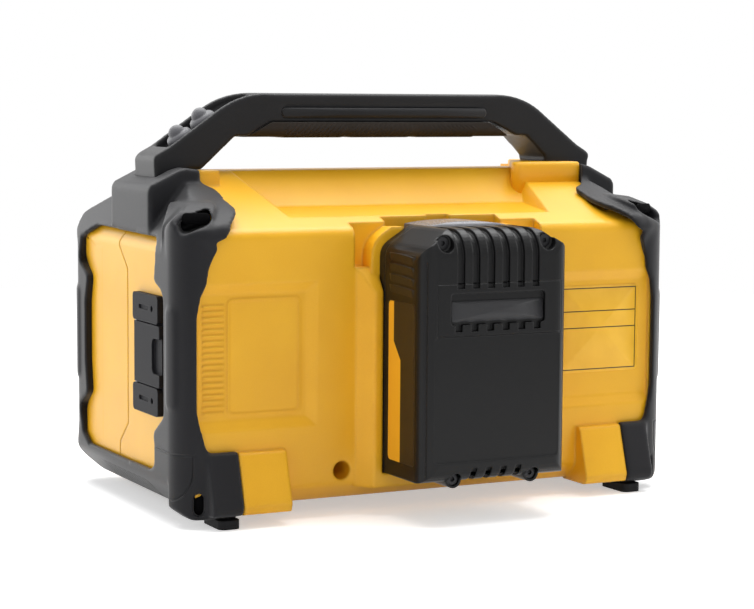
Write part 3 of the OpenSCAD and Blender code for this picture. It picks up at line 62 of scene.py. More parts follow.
class Wire:
    def __init__(self, tree, socket=None):
        self.tree = tree
        self.socket = socket

    # any node: its type, its settings first, then the values or links of its sockets
    def node(self, kind, settings=None, sockets=None, out=0):
        made = self.tree.nodes.new(kind)
        for key, value in (settings or {}).items():
            setattr(made, key, value)
        for key, value in (sockets or {}).items():
            if isinstance(value, Wire):
                self.tree.links.new(value.socket, made.inputs[key])
            else:
                made.inputs[key].default_value = value
        return Wire(self.tree, made.outputs[out])

    def maths(self, operation, *values):
        return self.node("ShaderNodeMath", {"operation": operation}, dict(enumerate(values)))

    def __add__(self, other):
        return self.maths("ADD", self, other)

    def __radd__(self, other):
        return self.maths("ADD", other, self)

    def __sub__(self, other):
        return self.maths("SUBTRACT", self, other)

    def __rsub__(self, other):
        return self.maths("SUBTRACT", other, self)

    def __mul__(self, other):
        return self.maths("MULTIPLY", self, other)

    def __rmul__(self, other):
        return self.maths("MULTIPLY", other, self)

    def __abs__(self):
        return self.maths("ABSOLUTE", self)

    def lessOf(self, other):
        return self.maths("MINIMUM", self, other)

    def moreOf(self, other):
        return self.maths("MAXIMUM", self, other)

    # 0 below low, 1 above high, straight between
    def ramp(self, low, high):
        return self.node("ShaderNodeMapRange", {"clamp": True},
                         {"Value": self, "From Min": low, "From Max": high, "To Min": 0.0, "To Max": 1.0})

    def blend(self, first, second):
        return self.node("ShaderNodeMix", {"data_type": "RGBA"}, {0: self, 6: first, 7: second}, out=2)

    def axis(self, name):
        return self.node("ShaderNodeSeparateXYZ", None, {0: self}, out=name)

    def noise(self, scale, detail):
        return self.node("ShaderNodeTexNoise", None, {"Vector": self, "Scale": scale, "Detail": detail})


def tone(red, green, blue):
    # a display colour of 0 to 255 as the linear colour a shader takes
    c = np.array([red, green, blue]) / 255
    linear = np.where(c <= 0.04045, c / 12.92, ((c + 0.055) / 1.055) ** 2.4)
    return (*[float(v) for v in linear], 1.0)


def openFinish(name):
    material = bpy.data.materials.new(name)
    material.use_nodes = True
    shader = material.node_tree.nodes["Principled BSDF"]
    wire = Wire(material.node_tree)
    place = wire.node("ShaderNodeTexCoord", out="Object")
    return material, shader, wire, place


socketNames = {"colour": "Base Color", "rough": "Roughness", "metal": "Metallic", "normal": "Normal",
               "coat": "Coat Weight", "coatRough": "Coat Roughness", "ior": "IOR",
               "specular": "Specular IOR Level", "clear": "Transmission Weight", "sheen": "Sheen Weight"}


def feed(shader, wire, **sockets):
    for key, value in sockets.items():
        socket = shader.inputs[socketNames[key]]
        if isinstance(value, Wire):
            wire.tree.links.new(value.socket, socket)
        else:
            socket.default_value = value


# Camera, light and floor

white = (1.0, 1.0, 1.0, 1.0)
view = {"place": (0.4648, 0.8976, 0.1910), "target": (0.0038, -0.0034, 0.0900), "roll": 0.4,
        "focalPixels": 2112.2, "imageWidth": 754, "sensorWidth": 36.0, "nearest": 0.05}
lampTarget = (0.0, 0.0, 0.08)
lamps = {
    "topBox": {"place": (-0.15, -0.30, 1.45), "size": 1.6, "power": 38.0},
    "endBox": {"place": (0.75, -1.20, 0.40), "size": 1.0, "power": 6.5},
    "sideBox": {"place": (1.50, 0.10, 0.60), "size": 0.8, "power": 3.5},
    "backFill": {"place": (0.35, 1.60, 0.75), "size": 1.2, "power": 4.2},
    "farFill": {"place": (-1.30, 0.50, 0.80), "size": 1.0, "power": 6.0},
}
surroundings = {"ambient": 0.24, "floorTone": 0.90, "floorGlow": 0.46, "floorHalf": 6.0, "fade": (0.35, 1.1)}


# The turn that points an object's -Z from its place to a target
def sightTurn(place, target):
    return (Vector(target) - Vector(place)).to_track_quat("-Z", "Y")


def setCamera():
    camera = bpy.data.objects.new("camera", bpy.data.cameras.new("camera"))
    scene.collection.objects.link(camera)
    camera.data.sensor_width = view["sensorWidth"]
    camera.data.lens = view["focalPixels"] / view["imageWidth"] * view["sensorWidth"]
    camera.data.clip_start = view["nearest"]
    roll = Quaternion((0, 0, 1), math.radians(view["roll"]))
    camera.rotation_mode = "QUATERNION"
    camera.rotation_quaternion = sightTurn(view["place"], view["target"]) @ roll
    camera.location = view["place"]
    scene.camera = camera


def setLamps():
    for name, lamp in lamps.items():
        data = bpy.data.lights.new(name, "AREA")
        data.shape = "SQUARE"
        data.size = lamp["size"]
        data.energy = lamp["power"]
        box = bpy.data.objects.new(name, data)
        scene.collection.objects.link(box)
        box.location = lamp["place"]
        box.rotation_mode = "QUATERNION"
        box.rotation_quaternion = sightTurn(lamp["place"], lampTarget)


# 1 for rays that show the surroundings themselves: seen straight, mirrored or through glass
def shownRays(wire):
    straight, mirrored, through = [wire.node("ShaderNodeLightPath", out=kind)
                                   for kind in ("Is Camera Ray", "Is Glossy Ray", "Is Transmission Ray")]
    return straight.moreOf(mirrored).moreOf(through)


def setWorld():
    world = bpy.data.worlds.new("studio")
    scene.world = world
    world.use_nodes = True
    wire = Wire(world.node_tree)
    back = world.node_tree.nodes["Background"]
    back.inputs["Color"].default_value = white
    strength = shownRays(wire) * (1 - surroundings["ambient"]) + surroundings["ambient"]
    wire.tree.links.new(strength.socket, back.inputs["Strength"])


# The floor: matt, shown with a glow that keeps the shadow, and fading to white away from the middle
def setFloor():
    half = surroundings["floorHalf"]
    mesh = bpy.data.meshes.new("floor")
    corners = [(-half, -half, 0), (half, -half, 0), (half, half, 0), (-half, half, 0)]
    mesh.from_pydata(corners, [], [(0, 1, 2, 3)])
    floor = bpy.data.objects.new("floor", mesh)
    scene.collection.objects.link(floor)
    material = bpy.data.materials.new("paleFloor")
    material.use_nodes = True
    tree = material.node_tree
    tree.nodes.remove(tree.nodes["Principled BSDF"])
    wire = Wire(tree)
    grey = surroundings["floorTone"]
    matt = wire.node("ShaderNodeBsdfDiffuse", None, {"Color": (grey, grey, grey, 1)})
    glow = wire.node("ShaderNodeEmission", None, {"Color": white, "Strength": surroundings["floorGlow"]})
    lit = wire.node("ShaderNodeAddShader", None, {0: matt, 1: glow})
    plain = wire.node("ShaderNodeEmission", None, {"Color": white, "Strength": 1.0})
    place = wire.node("ShaderNodeTexCoord", out="Object")
    away = wire.node("ShaderNodeVectorMath", {"operation": "LENGTH"}, {0: place}, out="Value")
    faded = wire.node("ShaderNodeMixShader", None, {0: away.ramp(*surroundings["fade"]), 1: lit, 2: plain})
    both = wire.node("ShaderNodeMixShader", None, {0: shownRays(wire), 1: matt, 2: faded})
    tree.links.new(both.socket, tree.nodes["Material Output"].inputs["Surface"])
    mesh.materials.append(material)


setCamera()
setLamps()
setWorld()
setFloor()
print("stage: camera,", len(lamps), "lamps, world and floor")


# Finishes, with lengths in metres and tones in display colours

# Moulded plastic or rubber: two tones mixed by a cloud and a grain, edges eased in the normal and given a
# third tone along them, partly as wear and partly as a painted edge highlight, the grain as bump. A finish
# gives only what differs from the values of its kind.
mouldLook = {"cloudScale": 28.0, "cloudDetail": 2.0, "grainScale": 1900.0, "grainDetail": 2.5,
             "cloudShare": 0.65, "mixRange": (0.3, 0.7), "edge": 0.0008, "edgeSamples": 6, "edgeWearAndHighlight": 0.25,
             "wearAndHighlightTurn": (0.02, 0.30), "wearAndHighlightGrain": (0.35, 0.65), "wearAndHighlightGloss": 0.1, "roughVary": 0.18,
             "grainStrength": 0.35, "grainDepth": 0.00012, "specular": 0.5, "coat": 0.0, "coatRough": 0.25,
             "sheen": 0.0}


def mouldedFinish(name, own):
    look = {**mouldLook, **own}
    material, shader, wire, place = openFinish(name)
    low, high, pale = [tone(*colour) for colour in look["tones"]]
    cloud = place.noise(look["cloudScale"], look["cloudDetail"])
    grain = place.noise(look["grainScale"], look["grainDetail"])
    eased = wire.node("ShaderNodeBevel", {"samples": look["edgeSamples"]}, {"Radius": look["edge"]})
    flat = wire.node("ShaderNodeNewGeometry", out="Normal")
    same = wire.node("ShaderNodeVectorMath", {"operation": "DOT_PRODUCT"}, {0: eased, 1: flat}, out="Value")
    # edge mask from the eased and the flat normal: a third tone along the edges, partly wear and partly a
    # painted edge highlight
    wearAndEdgeHighlight = (1 - same).ramp(*look["wearAndHighlightTurn"]) * look["edgeWearAndHighlight"] * grain.ramp(*look["wearAndHighlightGrain"])
    mixed = (cloud * look["cloudShare"] + grain * (1 - look["cloudShare"])).ramp(*look["mixRange"])
    rough = look["rough"] + (grain - 0.5) * look["roughVary"] - wearAndEdgeHighlight * look["wearAndHighlightGloss"]
    normal = eased
    if "marks" in look:
        normal = wire.node("ShaderNodeBump", None, {"Strength": 1.0, "Height": look["marks"](wire, place),
                                                    "Distance": look["markDepth"], "Normal": eased})
    bumped = wire.node("ShaderNodeBump", None, {"Strength": look["grainStrength"], "Height": grain,
                                                "Distance": look["grainDepth"], "Normal": normal})
    feed(shader, wire, colour=wearAndEdgeHighlight.blend(mixed.blend(low, high), pale), rough=rough, normal=bumped,
         specular=look["specular"], coat=look["coat"], coatRough=look["coatRough"], sheen=look["sheen"])
    return material


# Lines moulded into the bumpers, as heights: an outline round each rear lower corner and slanting ribs low on
# the ends. The way round the corner is run = r atan2(y - yc, |x| - xc), and the outline is where
# sqrt(max(run - run0, 0)^2 + max(z0 - z, 0)^2) = bend, a straight line down that turns into an arc.
# The ribs are sin(2 pi (y + slant z) / pitch), cut off at both ends.
bumperLines = {"centre": (0.114, 0.038), "radius": 0.014, "sideRun": 0.0149, "top": 0.0330, "turn": 0.0255,
               "bend": 0.0133, "line": 0.0007, "rear": (0.02, 0.03), "ribPitch": 0.0065, "ribSlant": 1.2,
               "ribShape": (-0.2, 0.5), "ribTop": (0.014, 0.015), "ribSide": (0.112, 0.114),
               "ribFront": (-0.062, -0.059), "ribBack": (-0.001, 0.002)}


def bumperMarks(wire, place):
    look = bumperLines
    x, y, z = abs(place.axis("X")), place.axis("Y"), place.axis("Z")
    centreX, centreY = look["centre"]
    run = wire.maths("ARCTAN2", y - centreY, x - centreX) * look["radius"]
    across = (run - (look["sideRun"] - look["bend"])).moreOf(0.0)
    below = (look["turn"] - z).moreOf(0.0)
    outline = wire.maths("SQRT", across * across + below * below) - look["bend"]
    upper = (z - look["top"]).moreOf(outline)
    seam = (1 - abs(upper).ramp(0.0, look["line"])) * y.ramp(*look["rear"])
    wave = wire.maths("SINE", (y + z * look["ribSlant"]) * (2 * math.pi / look["ribPitch"]))
    low = (1 - z.ramp(*look["ribTop"])) * x.ramp(*look["ribSide"])
    span = y.ramp(*look["ribFront"]) * (1 - y.ramp(*look["ribBack"]))
    return wave.ramp(*look["ribShape"]) * low * span - seam


# Thin groove moulded round the window on the pack's rear: a box outline, max(|x - xc| - a, |z - zc| - b) = 0
packLines = {"centre": (-0.0080, 0.0967), "half": (0.0317, 0.0115), "line": 0.0004, "face": (0.090, 0.092)}


def packMarks(wire, place):
    x, y, z = place.axis("X"), place.axis("Y"), place.axis("Z")
    (centreX, centreZ), (halfX, halfZ) = packLines["centre"], packLines["half"]
    edge = (abs(x - centreX) - halfX).moreOf(abs(z - centreZ) - halfZ)
    return (abs(edge).ramp(0.0, packLines["line"]) - 1) * y.ramp(*packLines["face"])


# Plated or painted metal: fine drawn lines along one axis over a soft cloud
metalLook = {"stretch": (1, 1, 14), "lineScale": 900.0, "cloudScale": 90.0, "detail": 3.0, "lineShare": 0.5,
             "mixRange": (0.3, 0.7), "edge": 0.0003, "edgeSamples": 4, "lineStrength": 0.2,
             "lineDepth": 0.00005, "roughVary": 0.25, "metal": 1.0}


def metalFinish(name, own):
    look = {**metalLook, **own}
    material, shader, wire, place = openFinish(name)
    low, high = [tone(*colour) for colour in look["tones"]]
    stretched = wire.node("ShaderNodeMapping", None, {"Vector": place, "Scale": look["stretch"]})
    lines = stretched.noise(look["lineScale"], look["detail"])
    cloud = place.noise(look["cloudScale"], look["detail"])
    mixed = (lines * look["lineShare"] + cloud * (1 - look["lineShare"])).ramp(*look["mixRange"])
    eased = wire.node("ShaderNodeBevel", {"samples": look["edgeSamples"]}, {"Radius": look["edge"]})
    bumped = wire.node("ShaderNodeBump", None, {"Strength": look["lineStrength"], "Height": lines,
                                                "Distance": look["lineDepth"], "Normal": eased})
    feed(shader, wire, colour=mixed.blend(low, high), metal=look["metal"], normal=bumped,
         rough=look["rough"] + (lines - 0.5) * look["roughVary"])
    return material


# Woven or pressed fibre: two crossing wave sets with flecks, as on a spider or a cone
fibreLook = {"fleckScale": 1400.0, "detail": 3.0, "wave": 0.25, "fleck": 0.8, "mixRange": (0.2, 0.8),
             "weaveStrength": 0.5, "weaveDepth": 0.00015, "roughVary": 0.2, "sheen": 0.1}


def fibreFinish(name, own):
    look = {**fibreLook, **own}
    material, shader, wire, place = openFinish(name)
    low, high = [tone(*colour) for colour in look["tones"]]
    across, along = [wire.maths("SINE", place.axis(axis) * look["pitch"]) for axis in "XZ"]
    fleck = place.noise(look["fleckScale"], look["detail"])
    weave = across * along * look["wave"] + 0.5 + (fleck - 0.5) * look["fleck"]
    bumped = wire.node("ShaderNodeBump", None, {"Strength": look["weaveStrength"], "Height": weave,
                                                "Distance": look["weaveDepth"]})
    feed(shader, wire, colour=weave.ramp(*look["mixRange"]).blend(low, high), normal=bumped,
         rough=look["rough"] + (fleck - 0.5) * look["roughVary"], sheen=look["sheen"])
    return material


# Lacquered board: copper paths as a brick lattice under the lacquer, with a few tinned pads
boardLook = {"tones": ((22, 92, 52), (30, 108, 62)), "path": (48, 132, 78), "pad": (206, 204, 196),
             "pathScale": 160.0, "pathWidth": 0.03, "pathOffset": 0.37, "padScale": 260.0,
             "padSize": (0.16, 0.2), "cloudScale": 60.0, "detail": 2.0, "rough": 0.42, "padGloss": 0.12,
             "padMetal": 0.8, "coat": 0.4, "coatRough": 0.15}


def boardFinish(name, look):
    material, shader, wire, place = openFinish(name)
    low, high = [tone(*colour) for colour in look["tones"]]
    upright = wire.node("ShaderNodeMapping", None, {"Vector": place, "Rotation": (math.pi / 2, 0, 0)})
    paths = wire.node("ShaderNodeTexBrick", {"offset": look["pathOffset"]}, {
        "Vector": upright, "Scale": look["pathScale"], "Mortar Size": look["pathWidth"],
        "Color1": (0, 0, 0, 1), "Color2": (0, 0, 0, 1), "Mortar": white})
    cells = wire.node("ShaderNodeTexVoronoi", None, {"Vector": place, "Scale": look["padScale"]},
                      out="Distance")
    pad = 1 - cells.ramp(*look["padSize"])
    cloud = place.noise(look["cloudScale"], look["detail"])
    lacquer = paths.blend(cloud.blend(low, high), tone(*look["path"]))
    feed(shader, wire, colour=pad.blend(lacquer, tone(*look["pad"])), metal=pad * look["padMetal"],
         rough=look["rough"] - pad * look["padGloss"], coat=look["coat"], coatRough=look["coatRough"])
    return material


# Clear lens of the status light: tinted, with a faint cloud in its roughness
lensLook = {"tones": ((150, 196, 240), (190, 222, 252)), "cloudScale": 900.0, "detail": 2.0, "rough": 0.12,
            "roughVary": 0.1, "clear": 0.5, "ior": 1.49}


def lensFinish(name, look):
    material, shader, wire, place = openFinish(name)
    low, high = [tone(*colour) for colour in look["tones"]]
    cloud = place.noise(look["cloudScale"], look["detail"])
    feed(shader, wire, colour=cloud.blend(low, high), rough=look["rough"] + cloud * look["roughVary"],
         clear=look["clear"], ior=look["ior"])
    return material


# Inset panel on the pack's sides: dark, with a plain warm band along its edge by the housing. The band's edge
# is y = edge + step * s(z), where s rises from 0 to 1 over a short slope.
panelLook = {"tones": ((34, 26, 15), (41, 31, 19)), "band": (236, 172, 40), "edge": 0.0655, "blur": 0.0001,
             "step": 0.0065, "slope": (0.081, 0.073), "cloudScale": 120.0, "detail": 3.0,
             "mixRange": (0.3, 0.7), "easing": 0.0003, "edgeSamples": 4, "rough": 0.4, "roughVary": 0.15,
             "specular": 0.3}


def panelFinish(name, look):
    material, shader, wire, place = openFinish(name)
    low, high = [tone(*colour) for colour in look["tones"]]
    cloud = place.noise(look["cloudScale"], look["detail"])
    shift = place.axis("Z").ramp(*look["slope"]) * look["step"]
    onBand = 1 - (place.axis("Y") - shift).ramp(look["edge"] - look["blur"], look["edge"] + look["blur"])
    eased = wire.node("ShaderNodeBevel", {"samples": look["edgeSamples"]}, {"Radius": look["easing"]})
    dark = cloud.ramp(*look["mixRange"]).blend(low, high)
    feed(shader, wire, colour=onBand.blend(dark, tone(*look["band"])), normal=eased,
         rough=look["rough"] + (cloud - 0.5) * look["roughVary"], specular=look["specular"])
    return material


# Blank label: the housing's colour a little paler, with a thin dark border, two rules and nothing else.
# The border is where the distance to the edge of a box, max(|x - xc| - a, |z - zc| - b), is near nought.
labelLook = {"tones": ((238, 182, 50), (246, 192, 60)), "ink": (52, 42, 22), "centre": (-0.0905, 0.0795),
             "half": (0.0205, 0.0195), "rules": (0.0880, 0.0800), "line": (0.000224, 0.00028),
             "cloudScale": 90.0, "detail": 2.0, "mixRange": (0.3, 0.7), "rough": 0.4, "roughVary": 0.1,
             "specular": 0.3}


def labelFinish(name, look):
    material, shader, wire, place = openFinish(name)
    low, high = [tone(*colour) for colour in look["tones"]]
    cloud = place.noise(look["cloudScale"], look["detail"])
    x, z = place.axis("X"), place.axis("Z")
    (centreX, centreZ), (halfX, halfZ) = look["centre"], look["half"]
    edge = (abs(x - centreX) - halfX).moreOf(abs(z - centreZ) - halfZ)
    upper, lower = [abs(z - height) for height in look["rules"]]
    rules = upper.lessOf(lower).moreOf(edge)
    inked = 1 - abs(edge).lessOf(abs(rules)).ramp(*look["line"])
    ground = cloud.ramp(*look["mixRange"]).blend(low, high)
    feed(shader, wire, colour=inked.blend(ground, tone(*look["ink"])), specular=look["specular"],
         rough=look["rough"] + (cloud - 0.5) * look["roughVary"])
    return material


# the third tone of each finish is the colour of its edges: partly wear, partly a painted edge highlight
mouldedLooks = {
    "housingYellow": {"tones": ((229, 168, 22), (239, 181, 32), (252, 206, 96)), "rough": 0.38,
                      "edge": 0.0022, "grainDepth": 0.00006, "edgeWearAndHighlight": 0.2, "specular": 0.4},
    "bumperRubber": {"tones": ((20, 20, 23), (26, 26, 29), (62, 62, 68)), "rough": 0.44, "edge": 0.0012,
                     "grainScale": 1500.0, "grainDepth": 0.00008, "edgeWearAndHighlight": 0.3, "specular": 0.14,
                     "sheen": 0.15, "marks": bumperMarks, "markDepth": 0.0007},
    "bufferRubber": {"tones": ((88, 88, 92), (96, 96, 100), (80, 80, 86)), "rough": 0.5, "edge": 0.0006,
                     "grainScale": 1500.0, "grainDepth": 0.00006, "edgeWearAndHighlight": 0.2, "specular": 0.3, "sheen": 0.4},
    "gripRubber": {"tones": ((30, 25, 20), (39, 32, 26), (70, 60, 50)), "rough": 0.62, "edge": 0.0004,
                   "grainScale": 1500.0, "edgeWearAndHighlight": 0.3, "specular": 0.2},
    "portRubber": {"tones": ((22, 22, 25), (28, 28, 31), (84, 84, 90)), "rough": 0.55, "edge": 0.0007,
                   "grainScale": 1500.0, "grainDepth": 0.00008, "edgeWearAndHighlight": 0.35, "specular": 0.1},
    "footRubber": {"tones": ((16, 16, 18), (21, 21, 23), (52, 52, 56)), "rough": 0.68, "edge": 0.0006,
                   "grainScale": 1200.0, "edgeWearAndHighlight": 0.3, "specular": 0.2},
    # near-black finish of the plates inside the corner hole and slot: painted shade
    "paintedShadeBlack": {"tones": ((6, 6, 7), (9, 9, 10), (12, 12, 13)), "rough": 0.8, "edge": 0.0006, "edgeWearAndHighlight": 0.1,
                  "specular": 0.05},
    "handleBlack": {"tones": ((20, 20, 22), (26, 26, 28), (70, 70, 74)), "rough": 0.38, "edge": 0.0010,
                    "grainScale": 1700.0, "edgeWearAndHighlight": 0.3, "specular": 0.16, "sheen": 0.12},
    "packBlack": {"tones": ((11, 11, 12), (15, 15, 16), (54, 54, 56)), "rough": 0.32, "edge": 0.0011,
                  "grainScale": 2100.0, "grainDepth": 0.00004, "edgeWearAndHighlight": 0.2, "specular": 0.2,
                  "marks": packMarks, "markDepth": 0.0004},
    "packWindow": {"tones": ((38, 38, 40), (44, 44, 46), (70, 70, 72)), "rough": 0.42, "edge": 0.0005,
                   "edgeWearAndHighlight": 0.2, "specular": 0.3},
    "ridgeBlack": {"tones": ((22, 17, 11), (28, 22, 15), (60, 52, 42)), "rough": 0.42, "edge": 0.0003,
                   "edgeWearAndHighlight": 0.2, "specular": 0.3},
    "innerBlack": {"tones": ((29, 29, 30), (37, 37, 38), (70, 70, 70)), "rough": 0.5, "edge": 0.0005,
                   "edgeWearAndHighlight": 0.2, "specular": 0.45},
    "releaseGrey": {"tones": ((100, 100, 105), (108, 108, 113), (110, 110, 114)), "rough": 0.27,
                    "edge": 0.0010, "edgeWearAndHighlight": 0.2},
    "holderCream": {"tones": ((216, 212, 200), (228, 225, 214), (240, 238, 230)), "rough": 0.5,
                    "edge": 0.0004},
    "cellWrap": {"tones": ((60, 128, 104), (72, 142, 116), (130, 180, 160)), "rough": 0.32, "edge": 0.0006,
                 "coat": 0.3},
    "buttonRubber": {"tones": ((58, 58, 60), (66, 66, 68), (120, 120, 124)), "rough": 0.58, "edge": 0.0009,
                     "grainScale": 1300.0, "edgeWearAndHighlight": 0.4, "specular": 0.4},
}
metalLooks = {
    "darkScrew": {"tones": ((34, 34, 36), (48, 48, 50)), "rough": 0.36, "metal": 0.7},
    "zincSteel": {"tones": ((150, 150, 154), (196, 196, 200)), "rough": 0.34},
    "grillePaint": {"tones": ((30, 30, 32), (40, 40, 42)), "rough": 0.46, "metal": 0.25,
                    "stretch": (1, 1, 1)},
    "ferrite": {"tones": ((62, 62, 64), (84, 84, 86)), "rough": 0.55, "metal": 0.6, "stretch": (1, 1, 1)},
    "sinkAluminium": {"tones": ((186, 187, 190), (212, 213, 216)), "rough": 0.36, "stretch": (1, 14, 1)},
    "platedBrass": {"tones": ((196, 162, 88), (222, 190, 118)), "rough": 0.3},
}
fibreLooks = {
    "conePaper": {"tones": ((34, 34, 35), (52, 52, 53)), "pitch": 2600.0, "rough": 0.72},
    "spiderCloth": {"tones": ((150, 116, 58), (196, 160, 92)), "pitch": 3600.0, "rough": 0.8},
}
finishes = {}
for makeFinish, looks in ((mouldedFinish, mouldedLooks), (metalFinish, metalLooks), (fibreFinish, fibreLooks),
                          (boardFinish, {"boardGreen": boardLook}), (lensFinish, {"lightLens": lensLook}),
                          (panelFinish, {"sidePanel": panelLook}), (labelFinish, {"blankLabel": labelLook})):
    for name, look in looks.items():
        finishes[name] = makeFinish(name, look)

slotFinish = {
    "yellow_plastic": "housingYellow", "rubber": "bumperRubber", "dark_rubber": "footRubber",
    "handle_plastic": "handleBlack", "black_plastic": "packBlack", "inner_plastic": "innerBlack",
    "grey_plastic": "releaseGrey", "panel": "sidePanel", "pale_plastic": "holderCream", "lens": "lightLens",
    "steel": "zincSteel", "dark_metal": "grillePaint", "magnet": "ferrite", "paper": "conePaper",
    "cloth": "spiderCloth", "board": "boardGreen", "aluminium": "sinkAluminium", "contact": "platedBrass",
    "cell": "cellWrap",
}
ownFinish = {"pack_cover": "packBlack", "pack_screws": "darkScrew", "housing_screws": "darkScrew",
             "handle_grip": "gripRubber", "port_housing": "portRubber", "port_cover": "portRubber"}
for row in frame["record"]["subparts"]:
    node = cadNodes[row["node"]]
    finish = ownFinish.get(row["node"], slotFinish[row["material_slot"]])
    if row["node"].endswith("_button") and row["node"] != "release_button":
        finish = "buttonRubber"
    node.data.materials.clear()
    node.data.materials.append(finishes[finish])
print("finishes:", len(finishes), "on", len(cadNodes), "nodes")


# Pieces, with lengths in metres and angles in degrees

sides = ((1, "right"), (-1, "left"))
weldDistance = 1e-6


def addPiece(name, mesh, body, finish, stands=()):
    mesh.materials.clear()
    mesh.materials.append(finishes[finish])
    piece = bpy.data.objects.new(name, mesh)
    scene.collection.objects.link(piece)
    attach(piece, body)
    if stands:
        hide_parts(*stands)
    return piece


# Merges a mesh's doubles and, on a new one, turns its faces outwards
def weld(mesh, turnOut=False):
    bm = bmesh.new()
    bm.from_mesh(mesh)
    bmesh.ops.remove_doubles(bm, verts=bm.verts, dist=weldDistance)
    if turnOut:
        bmesh.ops.recalc_face_normals(bm, faces=bm.faces)
    bm.to_mesh(mesh)
    bm.free()


def shadeSmooth(mesh):
    mesh.polygons.foreach_set("use_smooth", np.ones(len(mesh.polygons), bool))


# Quads over a grid of points (rows, columns, 3), whose last column joins the first
def gridMesh(name, points):
    rows, columns = points.shape[:2]
    r, c = np.meshgrid(np.arange(rows - 1), np.arange(columns), indexing="ij")
    right, up = (c + 1) % columns, r + 1
    quads = np.stack([r * columns + c, r * columns + right, up * columns + right, up * columns + c], -1)
    mesh = bpy.data.meshes.new(name)
    mesh.from_pydata(points.reshape(-1, 3), [], quads.reshape(-1, 4))
    weld(mesh, turnOut=True)
    shadeSmooth(mesh)
    return mesh


# Closed skin over rings of points (rows, columns, 3): each end is drawn together at its ring's middle
def closedSkin(name, rings):
    ends = [np.broadcast_to(ring.mean(1, keepdims=True), ring.shape) for ring in (rings[:1], rings[-1:])]
    return gridMesh(name, np.concatenate([ends[0], rings, ends[1]]))


def modified(carrier):
    return bpy.data.meshes.new_from_object(carrier.evaluated_get(bpy.context.evaluated_depsgraph_get()))


# Softened copy of a CAD solid: its surface on a fine lattice, reshaped point by point, then smoothed, as a
# moulding with eased edges
def softCopy(node, lattice, passes, pull, reshape):
    mesh = cadNodes[node].data.copy()
    weld(mesh)
    carrier = bpy.data.objects.new("carrier", mesh)
    scene.collection.objects.link(carrier)
    remesh = carrier.modifiers.new("lattice", "REMESH")
    remesh.mode = "VOXEL"
    remesh.voxel_size = lattice
    fine = modified(carrier)
    points = np.empty(len(fine.vertices) * 3)
    fine.vertices.foreach_get("co", points)
    fine.vertices.foreach_set("co", reshape(points.reshape(-1, 3)).ravel())
    carrier.modifiers.clear()
    carrier.data = fine
    smooth = carrier.modifiers.new("ease", "SMOOTH")
    smooth.factor = pull
    smooth.iterations = passes
    eased = modified(carrier)
    eased.name = node + "Soft"
    bpy.data.objects.remove(carrier)
    shadeSmooth(eased)
    print("softened", node, len(eased.polygons), "faces")
    return eased


def arc(centre, radius, start, stop, count):
    angle = np.radians(np.linspace(start, stop, count))
    return np.stack([centre[0] + radius * np.cos(angle), centre[1] + radius * np.sin(angle)], -1)


# 0 at start, 1 at stop, straight between and level beyond; start may be the larger
def rise(value, start, stop):
    return np.clip((value - start) / (stop - start), 0, 1)


# Trapezium: 0 outside the first and last limit, 1 between the middle two, straight between
def plateau(value, limits):
    a, b, c, d = limits
    return rise(value, a, b) * rise(value, d, c)


# The bumpers' moulding, in four moves of the lattice's points, written for the end at +x:
# - a turn about the upright axis of the rear corner, which brings the slot round to the corner's diagonal;
#   the angle is turn * plateau(z) * rise(r) * rise(y), and the rise over y starts further forward on the
#   inner side
# - the lower edge of the corner's fuller part is held to a line x >= edge(z) on the rear face
# - at the other end the collar keeps clear of the block under the handle
# - the front post's inner edge leans back over the end panel by lean * rise(x) * plateau(y) * plateau(z)
bumperLook = {"lattice": 0.00078, "passes": 14, "pull": 0.5}
cornerLook = {
    "centre": (0.114, 0.038), "turn": -30.0, "heights": (0.118, 0.128, 0.141, 0.150), "radii": (0.024, 0.015),
    "turnX": (-0.006, 0.006), "turnFrom": (0.016, 0.030), "turnFull": (0.036, 0.042),
    "edgeHeights": (0.1030, 0.1100, 0.1138, 0.1182, 0.1212, 0.1250, 0.1272, 0.1320),
    "edgeX": (0.1150, 0.1145, 0.1140, 0.1128, 0.1114, 0.1088, 0.1058, 0.1005), "edgeFrom": 0.040,
    "blockZ": 0.140, "blockY": (-0.053, 0.006, 0.016), "blockX": (0.1055, 0.1055, 0.0985),
    "lean": 0.0022, "leanX": (0.119, 0.128), "leanY": (-0.091, -0.088, -0.072, -0.066),
    "leanZ": (0.020, 0.030, 0.118, 0.126),
}


def bumperMoves(points):
    look = cornerLook
    side = np.sign(points[:, 0].mean())
    x, y, z = points[:, 0] * side, points[:, 1], points[:, 2]
    centreX, centreY = look["centre"]
    awayX, awayY = x - centreX, y - centreY
    start, stop = [np.interp(awayX, look["turnX"], look[key]) for key in ("turnFrom", "turnFull")]
    share = plateau(z, look["heights"]) * rise(np.hypot(awayX, awayY), *look["radii"]) * rise(y, start, stop)
    angle = np.radians(look["turn"]) * share
    x = centreX + awayX * np.cos(angle) - awayY * np.sin(angle)
    y = centreY + awayX * np.sin(angle) + awayY * np.cos(angle)
    edge = np.interp(z, look["edgeHeights"], look["edgeX"])
    held = (y > look["edgeFrom"]) & (z > look["edgeHeights"][0]) & (z < look["edgeHeights"][-1])
    x = np.where(held, np.maximum(x, edge), x)
    if side < 0:
        onBlock = (z > look["blockZ"]) & (y > look["blockY"][0]) & (y < look["blockY"][-1])
        x = np.where(onBlock, np.maximum(x, np.interp(y, look["blockY"], look["blockX"])), x)
    leaning = rise(x, *look["leanX"]) * plateau(y, look["leanY"]) * plateau(z, look["leanZ"])
    return np.stack([x * side, y + look["lean"] * leaning, z], -1)


for _, name in sides:
    shape = softCopy("bumper_" + name, reshape=bumperMoves, **bumperLook)
    addPiece("bumperSkin_" + name, shape, "cabinet", "bumperRubber", ["bumper_" + name])

